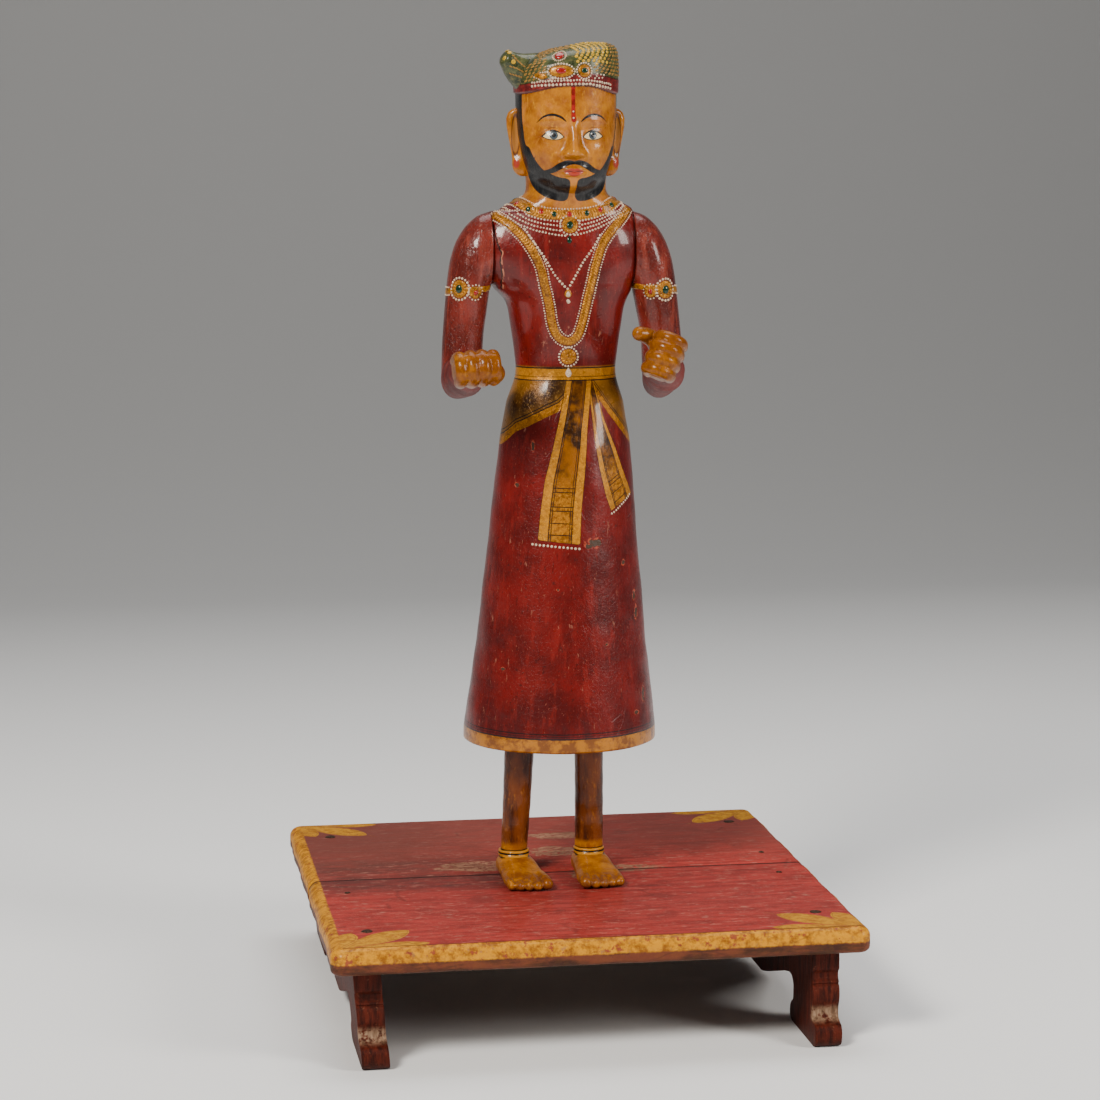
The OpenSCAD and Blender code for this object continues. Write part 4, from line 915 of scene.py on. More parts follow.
# ---------------------------------------------------------------- trunk
trunk = make("carved_log", tv, tf, TRUNK_MAT, replaces=["trunk"], attrs=A)
bvh = {"trunk": BVHTree.FromPolygons([Vector(v) for v in tv], tf)}

# ---------------------------------------------------------------- arms
AZ = SZ
OUT_X = [(0, 0), (1, 11), (2, 21), (3, 29), (4, 34), (5, 36.7), (6, 38.5), (7, 40.0), (8, 41.3), (9, 42.3), (11, 43)]
IN_X = [(0, 0), (1, 0.3), (2, 0.6), (3, 0.9), (4, 1.5), (5, 2.3), (6, 3.4), (7, 4.9), (8, 6.2), (9, 7.0), (11, 7.5)]
OUT_Z = [(0, 28), (1, 24.5), (2, 15.5), (3, 3), (4, -12), (5, -29), (6, -48), (7, -66), (8, -83), (11, -150)]
IN_Z = [(0, -36), (1, -37.5), (2, -39.5), (3, -42.5), (4, -47), (5, -53), (6, -61), (7, -70), (8, -83), (11, -150)]
DEEP = [(0, 23.5), (2, 24), (4, 23), (6, 20.5), (8, 18.4), (11, 18.4)]
ARM0 = FACE + 0.6
ARMS = {}
for sd, side in (("right", -1), ("left", 1)):
    ub_lo, ub_hi = box("upper_arm_" + sd)
    fo_lo, fo_hi = box("forearm_" + sd)
    spread = 3.0 if side > 0 else 0.0
    E = np.array([side * (ARM0 + 25.2 + spread), 2.0, 546.0 + (BT - 104)])
    rise = math.radians(9.0 if side < 0 else 13.5)
    turn = math.radians(0.0 if side < 0 else 11.0)
    fwd = np.array([-side * math.sin(turn) * math.cos(rise), -math.cos(turn) * math.cos(rise), math.sin(rise)])
    lat = np.cross([0, 0, -1.0], fwd)
    lat *= np.sign(lat[0]) / np.linalg.norm(lat)
    upv = np.cross(fwd, lat)
    half = (math.pi / 2 + rise) / 2
    nrm = np.array([0, math.sin(half), math.cos(half)])
    ARMS[sd] = dict(side=side, spread=spread, E=E, fwd=fwd, lat=lat, up=upv, nrm=nrm, body="arm_" + sd)


def arm_ring(a, k, n=96):
    xo, xi = ARM0 + tab(k, OUT_X), ARM0 + tab(k, IN_X)
    zo, zi = SZ + np.interp(k, *np.array(OUT_Z).T), SZ + np.interp(k, *np.array(IN_Z).T)
    xo, xi = ARM0 + np.interp(k, *np.array(OUT_X).T), ARM0 + np.interp(k, *np.array(IN_X).T)
    b = np.interp(k, *np.array(DEEP).T)
    out = a["spread"] * min(1, max(0, -np.interp(k, *np.array(OUT_Z).T) / 115))
    t = np.arange(n) * 2 * math.pi / n
    c, s = np.cos(t), np.sin(t)
    wob = 1 + 0.012 * np.sin(3 * t + k * 1.9) + 0.008 * np.sin(5 * t - k * 2.7)
    if k == 0:
        wob = 1
    return np.stack([a["side"] * ((xo + xi) / 2 + out + c * (xo - xi) / 2), 1 + a["side"] * s * b * wob, (zo + zi) / 2 + c * (zo - zi) / 2], -1)


def smooth_rows(table, n):
    t = np.array(table, float)
    return t


for sd, a in ARMS.items():
    ks = np.r_[np.linspace(9.2, 0.12, 150), 0.04, 0.0]
    # smooth the station tables by averaging neighbouring stations
    rings = []
    for k in ks:
        span = 0.35 * min(1, k / 0.6)
        rings.append(sum(w * arm_ring(a, max(0, k + d * span)) for d, w in ((-1, 0.25), (0, 0.5), (1, 0.25))))
    rings = np.array(rings)
    if True:
        # end the lower rings on the mitre through the elbow
        base = rings[0]
        end = base.copy()
        end[:, 2] = a["E"][2] - (base[:, 1] - a["E"][1]) * a["nrm"][1] / a["nrm"][2]
        keep = [r for r in rings if r[:, 2].min() > end[:, 2].max() + 1.0]
        low = keep[0]
        extra = [end * (1 - t) + low * t for t in np.linspace(0, 1, 14)[:-1]]
        rings = np.array(extra + keep)
    a["rings"] = rings
    a["low_ring"] = rings[0]
    v, f = loft(rings)
    make("upper_arm_carved_" + sd, v, f, SLEEVE, body=a["body"], replaces=["upper_arm_" + sd])
    bvh["upper_" + sd] = BVHTree.FromPolygons([Vector(q) for q in v], f)


def hand_parts(a, roll, thumb):
    """Fist as overlapping rounded shapes; u across, w up, before rolling, s along the forearm."""
    cr, sr = math.cos(roll), math.sin(roll)

    def P(s, u, w):
        return a["E"] + a["fwd"] * s + a["lat"] * (u * cr - w * sr) + a["up"] * (u * sr + w * cr)

    parts = []
    n = 40
    t = np.arange(n) * 2 * math.pi / n
    rows = [(64, 14, 13, 1.0), (70, 14.6, 12.6, 0.95), (76, 16.4, 12.8, 0.8), (84, 18.8, 13.2, 0.65), (94, 19.6, 13.2, 0.6), (102, 19.4, 12.4, 0.6),
            (108, 18.4, 11.0, 0.6), (112, 16, 8, 0.7)]
    if thumb == "under":
        rows = rows[:5] + [(104, 19.6, 13.0, 0.5), (111, 19.4, 12.2, 0.5), (115, 18.6, 10.6, 0.5), (117, 16.5, 8.0, 0.6)]
    rings = []
    for s, w, h, p in rows:
        c, q = np.cos(t), np.sin(t)
        uu, ww = w * np.sign(c) * np.abs(c) ** p, h * np.sign(q) * np.abs(q) ** p
        rings.append(np.array([P(s, x, y) for x, y in zip(uu, ww)]))
    parts.append(loft(rings))
    for i, uc in enumerate((-14.2, -4.8, 4.8, 14.2)):
        long = (0.0, 1.6, 1.3, -1.0)[i]
        r = (5.6, 6.1, 6.0, 5.3)[i]
        path = smooth_line([P(84, uc * 0.98, 8.2), P(98, uc, 9.6), P(108 + long, uc, 8.2), P(113.2 + long, uc, 1.5), P(111.5 + long, uc, -6.5),
                            P(104, uc, -9.8), P(94, uc * 0.96, -10.2)], 2.0)
        parts.append(tube(path, np.full(len(path), r), 18))
    if thumb == "side":
        path = smooth_line([P(80, 9, 9), P(90, 11.0, 14), P(98, 11.0, 20), P(103, 9.5, 26.5)], 2.0)
        parts.append(tube(path, np.linspace(8.6, 6.2, len(path)), 18))
    else:
        path = smooth_line([P(74, 14.5, 0), P(86, 19.0, -2), P(98, 18.5, -7), P(106, 12, -12.0)], 2.0)
        parts.append(tube(path, np.linspace(6.4, 4.4, len(path)), 18))
    return parts


for sd, a in ARMS.items():
    n = 96
    low = a["low_ring"]
    # sleeve: starts on the same mitre outline and runs forward
    c0 = low.mean(0)
    rel = low - c0
    uu = rel @ a["lat"]
    # angle round the forearm axis for every point of the shared outline
    ww = rel @ a["up"]
    ang = np.arctan2(ww, uu)
    rings = []
    wide = [(0, 18.4), (20, 18.6), (45, 16.4), (62, 15.2), (72, 15.0), (77, 15.4), (78.5, 15.0)]
    high = [(0, 18.8), (20, 18.6), (45, 15.8), (62, 14.0), (72, 13.6), (77, 14.0), (78.5, 13.4)]
    roll = math.radians(4 if a["side"] < 0 else 68)
    shift = a["nrm"] * -0.12
    for s in np.r_[0, 3, 6, 10, np.arange(14, 72, 3.0), 74, 76, 77.5, 78.5]:
        w, h = tab(s, wide, 3), tab(s, high, 3)
        q = roll * float(ramp(s, 30, 72))
        e = np.cos(ang)[:, None] * a["lat"] * w + np.sin(ang)[:, None] * a["up"] * h
        if q:
            ca, sa = math.cos(q), math.sin(q)
            e = (np.cos(ang) * w)[:, None] * (a["lat"] * ca + a["up"] * sa) + (np.sin(ang) * h)[:, None] * (a["up"] * ca - a["lat"] * sa)
        ring = a["E"] + a["fwd"] * s + e
        # slide points forward of the mitre plane
        lowest = low + shift
        d = (ring - (a["E"] + shift)) @ a["nrm"]
        back = d > 0
        ring[back] = ring[back] + np.outer(d[back] / -(a["fwd"] @ a["nrm"]), a["fwd"])
        t = float(ramp(s, 0, 16))
        if s == 0:
            ring = lowest
        elif t < 1:
            mixr = lowest + a["fwd"] * s
            ring = mixr * (1 - t) + ring * t
        wob = 0.25 * np.sin(ang * 4 + s * 0.3)
        rings.append(ring + e / np.linalg.norm(e, axis=1)[:, None] * wob[:, None] * t)
    v, fsl = loft([r[::-1] for r in rings])
    hv, hf = fuse("hand_" + sd, hand_parts(a, roll, "side" if a["side"] > 0 else "under"), 0.75, 3, None)
    av, af = join_parts([(v, fsl), (hv, hf)])
    s_at = (av - a["E"]) @ a["fwd"]
    hand_mask = np.r_[np.zeros(len(v)), np.ones(len(hv))]
    make("forearm_carved_" + sd, av, af, FORE, body=a["body"], replaces=["forearm_" + sd],
         attrs={"along": s_at, "hand": hand_mask})
    bvh["fore_" + sd] = BVHTree.FromPolygons([Vector(q) for q in av], af)

# ---------------------------------------------------------------- raised gold work, dots and stones laid on the carved surface
def snap(tree, q):
    loc, nrm, _, _ = tree.find_nearest(Vector(q))
    return np.array(loc), np.array(nrm)


def track(tree, pts, step, closed=False):
    line = smooth_line(pts, 0.6, closed)
    if closed:
        line = np.vstack([line, line[:1]])
    line = even(np.array([snap(tree, q)[0] for q in line]), step)
    return line[:-1] if closed else line


class Pile:
    """Collects small shapes that share one material."""

    def __init__(self):
        self.v, self.f, self.n, self.along, self.across = [], [], 0, [], []

    def put(self, v, f, along=None, across=None):
        v = np.asarray(v)
        self.v.append(v)
        self.f += [[a + self.n for a in q] for q in f]
        self.n += len(v)
        self.along.append(np.zeros(len(v)) if along is None else along)
        self.across.append(np.zeros(len(v)) if across is None else across)

    def shape(self, name, mat, body=ROOT, slot="robe_and_head"):
        if not self.v:
            return None
        return make(name, np.vstack(self.v), self.f, mat, body=body,
                    attrs={"along": np.concatenate(self.along), "across": np.concatenate(self.across)})

    def dome(self, p, n, r, h, rx=1.0, axis=None, seg=10):
        """Rounded drop of paint: radius r, height h, stretched by rx along axis."""
        a = np.cross(n, [0.13, 0.2, 0.97]) if axis is None else axis - n * (axis @ n)
        a = a / np.linalg.norm(a)
        b = np.cross(n, a)
        t = np.arange(seg) * 2 * math.pi / seg
        v = []
        for k, z in ((1.0, -0.35), (1.0, 0.15), (0.86, 0.55), (0.5, 0.88)):
            v += [p + a * (r * rx * k * c) + b * (r * k * s) + n * h * z for c, s in zip(np.cos(t), np.sin(t))]
        v.append(p + n * h)
        f = []
        for j in range(3):
            f += [[j * seg + i, j * seg + (i + 1) % seg, (j + 1) * seg + (i + 1) % seg, (j + 1) * seg + i] for i in range(seg)]
        f += [[3 * seg + i, 3 * seg + (i + 1) % seg, 4 * seg] for i in range(seg)]
        self.put(v, f)

    def dots(self, tree, pts, r, gap, h=0.7, closed=False, jit=0.08, skip=None):
        for q in track(tree, pts, gap, closed):
            if skip is not None and skip(q):
                continue
            p, n = snap(tree, q + RNG.normal(0, jit, 3))
            self.dome(p, n, r * (1 + RNG.uniform(-0.1, 0.1)), h)

    def ribbon(self, tree, pts, width, high=0.5, step=1.4, closed=False):
        line = track(tree, pts, step, closed)
        n = len(line)
        cols = [(-1.0, -0.5), (-0.9, 0.8), (-0.45, 1.0), (0, 1.0), (0.45, 1.0), (0.9, 0.8), (1.0, -0.5)]
        v, al, ac = [], [], []
        for i, q in enumerate(line):
            p, nn = snap(tree, q)
            t = (line[(i + 1) % n] - line[i - 1]) if closed else line[min(i + 1, n - 1)] - line[max(i - 1, 0)]
            s = np.cross(nn, t)
            s /= np.linalg.norm(s)
            for c, h in cols:
                a, an = snap(tree, p + s * (c * width / 2))
                v.append(a + an * high * h)
                al.append(i * step)
                ac.append(c)
        m = len(cols)
        f = [[i * m + j, i * m + j + 1, ((i + 1) % n) * m + j + 1, ((i + 1) % n) * m + j] for i in range(n if closed else n - 1) for j in range(m - 1)]
        self.put(v, [q[::-1] for q in f], al, ac)

    def pad(self, tree, at, up_dir, outline, h):
        """Low cushion of gesso with the given outline (x right, y up, in mm) laid at a point."""
        p, n = snap(tree, at)
        u = np.array(up_dir, float)
        u = u - n * (u @ n)
        u /= np.linalg.norm(u)
        r = np.cross(u, n)
        o = np.array(outline, float)
        m = len(o)
        v = []
        for k, z in ((1.0, -0.4), (1.0, 0.35), (0.86, 0.8), (0.5, 1.0)):
            for x, y in o * k:
                a, an = snap(tree, p + r * x + u * y)
                v.append(a + an * h * z)
        v.append(p + n * h)
        f = []
        for j in range(3):
            f += [[j * m + i, j * m + (i + 1) % m, (j + 1) * m + (i + 1) % m, (j + 1) * m + i] for i in range(m)]
        f += [[3 * m + i, 3 * m + (i + 1) % m, 4 * m] for i in range(m)]
        self.put(v, [q[::-1] for q in f] if np.cross(o[1] - o[0], o[2] - o[1]) < 0 else f)


def oval(a, b, n=28):
    t = np.arange(n) * 2 * math.pi / n
    return np.stack([a * np.cos(t), b * np.sin(t)], 1)


def drop(a, up_len, low_len, n=28):
    t = np.arange(n) * 2 * math.pi / n
    y = np.sin(t)
    x = a * np.cos(t) * np.where(y > 0, np.clip(1 - np.abs(y) ** 1.6, 0, 1) ** 0.45 / np.maximum(np.abs(np.cos(t)), 0.05) * np.abs(np.cos(t)), 1)
    return np.stack([x, np.where(y > 0, y * up_len, y * low_len)], 1)


def rosette(tree, at, r, gold, pearls, stone, count=18, h=0.9, stone_r=0.36, up_dir=(0, 0, 1), petals=0):
    """Gold disc with a domed stone and a ring of dots."""
    p, n = snap(tree, at)
    gold.pad(tree, at, up_dir, oval(r * 0.82, r * 0.82), h * 0.7)
    t = np.array(up_dir, float)
    t = t - n * (t @ n)
    t /= np.linalg.norm(t)
    b = np.cross(n, t)
    for i in range(count):
        a = 2 * math.pi * i / count
        q, m = snap(tree, p + (t * math.cos(a) + b * math.sin(a)) * r)
        pearls.dome(q, m, min(1.35, r * 0.115), 0.85)
    ring = max(10, int(r * 1.5))
    for i in range(ring):
        a = 2 * math.pi * (i + 0.5) / ring
        q, m = snap(tree, p + (t * math.cos(a) + b * math.sin(a)) * r * 0.62)
        gold.dome(q + m * h * 0.5, m, r * 0.12, 0.6, 1.7, axis=t * math.cos(a) + b * math.sin(a))
    stone.dome(p + n * h * 0.5, n, r * stone_r, h * 1.5, 0.82, seg=18)


T = bvh["trunk"]
gold_w, hatch, pearls, ruby, emerald, yellow, dash = Pile(), Pile(), Pile(), Pile(), Pile(), Pile(), Pile()
dz = SZ - 660.0


def at(*pts):
    return [(x, y, z + dz) for x, y, z in pts]


# choker: a gold band with red and green stones between two dotted lines, closed round the neck
CHOKER = at((-39, 4, 695), (-30, -18, 690), (-18, -21, 686), (4, -22, 685.5), (21, -22, 686), (34, -20, 690), (47, -3, 695), (46, 14, 697), (34, 29, 697),
            (4, 37, 697), (-24, 29, 697), (-36, 16, 697))
hatch.ribbon(T, CHOKER, 9.0, 0.45, closed=True)
CHOKE_T = at((-35, 4, 699), (-27, -16, 694.5), (-14, -22, 691.5), (3, -24, 690.5), (21, -23, 692), (33, -16, 695.5), (42, -2, 699), (41, 14, 701), (30, 27, 702),
             (4, 34, 702), (-21, 27, 702), (-32, 15, 701))
pearls.dots(T, CHOKE_T, 0.75, 2.5, closed=True)
gems = at((-39, -8, 693), (-31, -17, 690), (-21, -21, 688), (-10, -22, 686), (3, -23, 686), (18, -23, 687), (30, -21, 690), (40, -16, 693), (45, 4, 696.5),
          (-38, 10, 696.5), (40, 22, 697.5), (-30, 24, 697.5), (22, 34, 697.5), (-12, 34, 697.5), (5, 37, 697.5))
for i, g in enumerate(gems):
    q, n = snap(T, g)
    gold_w.dome(q + n * 0.3, n, 3.5, 0.8, 1.0, seg=14)
    (ruby if i % 2 == 0 else emerald).dome(q + n * 0.7, n, 2.2, 0.9, 1.15, axis=np.array([0, 0, 1.0]), seg=14)
# rows of pearl dots below it
ROWS = []
low = np.array(at((-57, -2, 684), (-47, -14, 681), (-35, -21, 675), (-18, -25, 670), (3, -28, 668), (22, -25, 672), (39, -20, 679), (56, -9, 687)))
top = np.array(at((-46, 1, 692), (-37, -13, 688), (-29, -20, 684), (-17, -23, 681), (3, -24.5, 679.5), (20, -24, 682), (34, -20, 686), (49, -7, 692)))
for k in range(4):
    row = top + (low - top) * (k / 3.0)
    pearls.dots(T, row, 0.92, 2.75, skip=lambda q: math.hypot(q[0] - 3, q[2] - 676 - dz) < 8.2)
back = np.array(at((-46, 1, 692), (-42, 18, 691), (-28, 33, 690), (4, 40, 689), (34, 33, 690), (48, 16, 691), (49, -7, 692)))
for k in range(2):
    pearls.dots(T, back + np.array([0, 0.8, -3.4]) * k, 0.9, 2.75)
rosette(T, (3, -25, 676.5 + dz), 8.4, gold_w, pearls, emerald, 18, stone_r=0.42)
emerald.pad(T, (2, -29, 664 + dz), (0, 0, 1), drop(2.0, 4.2, 2.6), 0.9)
# garland with white dots down both sides, its rosette over the belt
GARL = at((-58, -3, 683), (-43, -19, 673), (-32, -27, 660), (-23, -28, 643), (-19, -28, 626), (-15, -27, 609), (-12, -26, 592), (-6.5, -26, 581.5), (2, -27, 577.5),
          (9.5, -27, 582.5), (14, -27, 596), (18, -28, 613), (22, -29, 630), (26, -29, 647), (33, -27, 664), (50, -15, 683), (56, -6, 690))
hatch.ribbon(T, GARL, 7.4, 0.6)
line = track(T, GARL, 1.0)
for sgn in (-1, 1):
    side_pts = []
    for i in range(1, len(line) - 1):
        q, n = snap(T, line[i])
        t = line[i + 1] - line[i - 1]
        s_ = np.cross(n, t)
        side_pts.append(q + s_ / np.linalg.norm(s_) * sgn * 4.9)
    pearls.dots(T, side_pts[::3], 0.72, 2.25)
rosette(T, (2, -26, 564.5 + dz), 8.2, gold_w, pearls, gold_w, 20, stone_r=0.36)
pearls.pad(T, (2, -26, 550.5 + dz), (0, 0, 1), drop(2.6, 4.6, 3.4), 1.0)
# inner string in a V, its drops
pearls.dots(T, at((-35, -22, 673), (-27, -26, 661), (-19, -29, 649), (-12, -30, 637), (-5, -30, 628), (0.5, -30, 623)), 1.12, 3.1)
pearls.dots(T, at((29, -26, 668), (22, -29, 657), (14, -30, 646), (8, -30, 635), (2.6, -30, 626)), 1.12, 3.1)
gold_w.pad(T, (1, -29, 618.5 + dz), (0, 0, 1), drop(3.0, 4.8, 3.2), 0.8)
pearls.pad(T, (1, -29, 618 + dz), (0, 0, 1), drop(2.0, 3.4, 2.2), 1.4)
pearls.dots(T, at((1, -29, 612.6), (1.4, -29, 611.9)), 1.5, 3)
# fringes of dots under the sash ends
pearls.dots(T, [(-32, -43, RZ + 178.2), (-14, -48, RZ + 176.4), (7, -52, RZ + 174.6)], 1.1, 3.5)
pearls.dots(T, [(39, -42, RZ + 203.5), (44, -40, RZ + 205.5), (52, -34, RZ + 211), (60, -24, RZ + 217.5)], 1.0, 2.9)

# turban: the knot at the figure's right, wound rows of dabs, the head-band and its jewels
knot = []
n = 40
t = np.arange(n) * 2 * math.pi / n
kz = TZ - 831.0
for c, nrm, a, b in (((-20, 2, 804), (-1, -0.1, 0.2), 20.5, 18), ((-28, 0, 806), (-1, -0.15, 0.25), 18.5, 16), ((-35, -3, 808.5), (-1, -0.2, 0.36), 15.8, 13.4),
                     ((-40.5, -5.5, 811.5), (-1, -0.28, 0.45), 13.0, 11.2), ((-45, -7.5, 814.8), (-1, -0.32, 0.56), 10.4, 9.4),
                     ((-48, -9, 818), (-1, -0.36, 0.66), 8.2, 8.0), ((-50, -10, 819.8), (-1, -0.4, 0.7), 7.2, 7.2), ((-50.9, -10.5, 820.7), (-1, -0.42, 0.72), 5.6, 5.8),
                     ((-51.3, -10.7, 821.0), (-1, -0.42, 0.72), 3.0, 3.2)):
    nv = np.array(nrm, float)
    nv /= np.linalg.norm(nv)
    h = np.cross(nv, [0, 1.0, 0])
    h /= np.linalg.norm(h)
    if h[2] < 0:
        h = -h
    w_ = np.cross(nv, h)
    knot.append([np.array(c, float) + [0, 0, kz] + h * a * s + w_ * b * cc for cc, s in zip(np.cos(t), np.sin(t))])
kv, kf = loft([r[::-1] for r in knot])
p = Paint("turban_knot_paint")
g = p.noise(18, 5, 0.6, seed=71.0)
c = p.mix(p.span(g, 0.34, 0.66), (0.018, 0.028, 0.010), (0.075, 0.085, 0.028))
c = p.mix(p.mul(p.span(p.noise(48, 4, 0.6, seed=77.0), 0.50, 0.72), 0.6), c, (0.20, 0.15, 0.05))
h_, k_ = gesso(p)
KNOT_MAT = p.done(c, 0.3, coat=0.6, coat_rough=0.12, normal=p.bump(h_, k_, 0.0016))
make("turban_knot", kv, kf, KNOT_MAT)
K = BVHTree.FromPolygons([Vector(q) for q in kv], kf)
for dx, dy_, dz_ in ((-50, -13, 818.5), (-47, -14, 824.5), (-44, -15, 816), (-48, -7, 826)):
    q, nn = snap(K, (dx, dy_, dz_ + kz))
    yellow.dome(q, nn, 2.0, 0.6, seg=12)

# dabs: rows follow the wound cloth, along each meridian of the carved turban
prof_i = [j for j in range(len(zs)) if on["z"][j, 0] > BAND - 8]
mer = grid[prof_i]
edges = on["edge"][prof_i]
row_gap = 3.15
seg = np.linalg.norm(np.diff(mer, axis=0), axis=2)
cum = np.vstack([np.zeros(NTH), np.cumsum(seg, axis=0)])
start = np.array([np.interp(10.6, edges[:, i], cum[:, i]) for i in range(NTH)])
total = cum[-1] - start
levels = int(total.max() / row_gap)
for k in range(levels):
    frac = (k + 0.5) / levels
    ring = np.array([[np.interp(start[i] + total[i] * frac, cum[:, i], mer[:, i, j]) for j in range(3)] for i in range(NTH)])
    ln = np.linalg.norm(np.roll(ring, -1, 0) - ring, axis=1)
    L = np.r_[0, np.cumsum(ln)]
    count = max(2, int(L[-1] / 4.7))
    for m in range(count):
        s_at = (m + (0.5 if k % 2 else 0.0) + RNG.uniform(-0.08, 0.08)) / count * L[-1] % L[-1]
        rr = np.vstack([ring, ring[:1]])
        q = np.array([np.interp(s_at, L, rr[:, j]) for j in range(3)])
        q2 = np.array([np.interp((s_at + 1.5) % L[-1], L, rr[:, j]) for j in range(3)])
        if q[0] < -24 and abs(q[1] + 2) < 16 and q[2] < kz + 825:
            continue
        pq, nn = snap(T, q)
        if nn[1] > 0.0 and q[1] < HEAD_Y:
            continue
        axis = (q2 - q) + np.array([0, 0, 0.45]) * np.linalg.norm(q2 - q)
        bright = q[0] > 4 and q[0] < 36 and q[1] < 0 and q[2] > kz + 814
        if (abs(q[0] + 6) < 12 and q[1] < -20 and q[2] < kz + 827) or (abs(q[0] - 13) < 8 and q[1] < -20 and q[2] < kz + 815):
            continue
        if bright:
            yellow.dome(pq, nn, 1.35 + RNG.uniform(-0.15, 0.2), 0.5, 1.15, axis=axis)
        else:
            dash.dome(pq, nn, 0.92 + RNG.uniform(-0.12, 0.12), 0.4, 2.1, axis=axis, seg=8)
for k in range(9):
    a = k / 8.0
    for j, z_ in enumerate((799, 803.5, 808)):
        q, nn = snap(K, (-28 - 17 * a, -18 + 6 * a, z_ + kz + 8 * a * (1 + 0.2 * j)))
        dash.dome(q, nn, 0.7, 0.45, 2.2, axis=np.array([-0.8, 0, 0.55]), seg=8)

hz = BAND - 793.5
for off, r, g in ((2.3, 1.25, 3.2), (5.6, 1.0, 2.7)):
    pts_ = [(x, y, z + hz + off) for x, y, z in ((-30, -26, 791.5), (-23, -31, 792.3), (-3, -38, 793.2), (18, -37, 793.2), (33, -29, 791), (37, -25, 790))]
    pearls.dots(T, pts_, r, g, h=0.9)
pearls.dots(T, [(x, y, z + hz) for x, y, z in ((-27, -30, 801), (-22, -33, 798.5), (-16, -36, 798.8), (-12, -38, 801.5))], 0.85, 2.2)
pearls.dots(T, [(x, y, z + hz) for x, y, z in ((-29, -28, 802), (-26, -31, 804.5), (-20, -34, 806), (-14, -37, 805))], 0.8, 2.2)
gold_w.pad(T, (-22.5, -30, 802.4 + hz), (0.15, 0, 1), oval(6.2, 2.6), 1.0)
gold_w.pad(T, (-6.5, -37, 806.5 + hz), (0, 0, 1), oval(10.6, 5.0, 40), 1.1)
ruby.pad(T, (-6.5, -37, 806.8 + hz), (0, 0, 1), oval(4.6, 2.7), 1.9)


def halo(at_, line_pts, r, gap, h=0.85):
    p_, n_ = snap(T, at_)
    u_ = np.array([0, 0, 1.0]) - n_ * n_[2]
    u_ /= np.linalg.norm(u_)
    r_ = np.cross(u_, n_)
    pearls.dots(T, [p_ + r_ * x + u_ * y for x, y in line_pts], r, gap, h=h, closed=True)


halo((-6.5, -37, 806.5 + hz), oval(11.8, 6.3, 20), 0.95, 2.4)
ruby.pad(T, (-6.5, -30, 818.2 + hz), (0, 0, 1), drop(4.0, 5.6, 4.2), 1.3)
halo((-6.5, -30, 818.2 + hz), drop(5.8, 8.0, 5.8)[::2], 0.72, 1.65, 0.8)
gold_w.pad(T, (13.5, -38, 807 + hz), (0, 0, 1), oval(5.4, 5.4), 1.0)
emerald.pad(T, (13.5, -38, 807 + hz), (0, 0, 1), oval(3.0, 2.6), 1.9)
halo((13.5, -38, 807 + hz), oval(6.7, 6.7, 16), 0.85, 2.2)
for x in (22, 26, 30):
    pearls.dots(T, [(x, -33, 801 + hz), (x + 1.6, -32, 803.5 + hz)], 0.8, 2.6)
# two white dots in the forehead mark
pearls.dots(T, [(HEAD_X - 0.3, -40, BROW_Z + 9.0), (HEAD_X - 0.3, -40, BROW_Z + 4.6)], 0.8, 4.4)

gold_w.shape("raised_gold", GILT)
hatch.shape("necklace_bands", GILT_HATCH)
pearls.shape("white_dots", PEARL)
ruby.shape("red_stones", RUBY)
emerald.shape("green_stones", EMERALD)
yellow.shape("turban_yellow_dots", YELLOW)
dash.shape("turban_ochre_dabs", DASH)

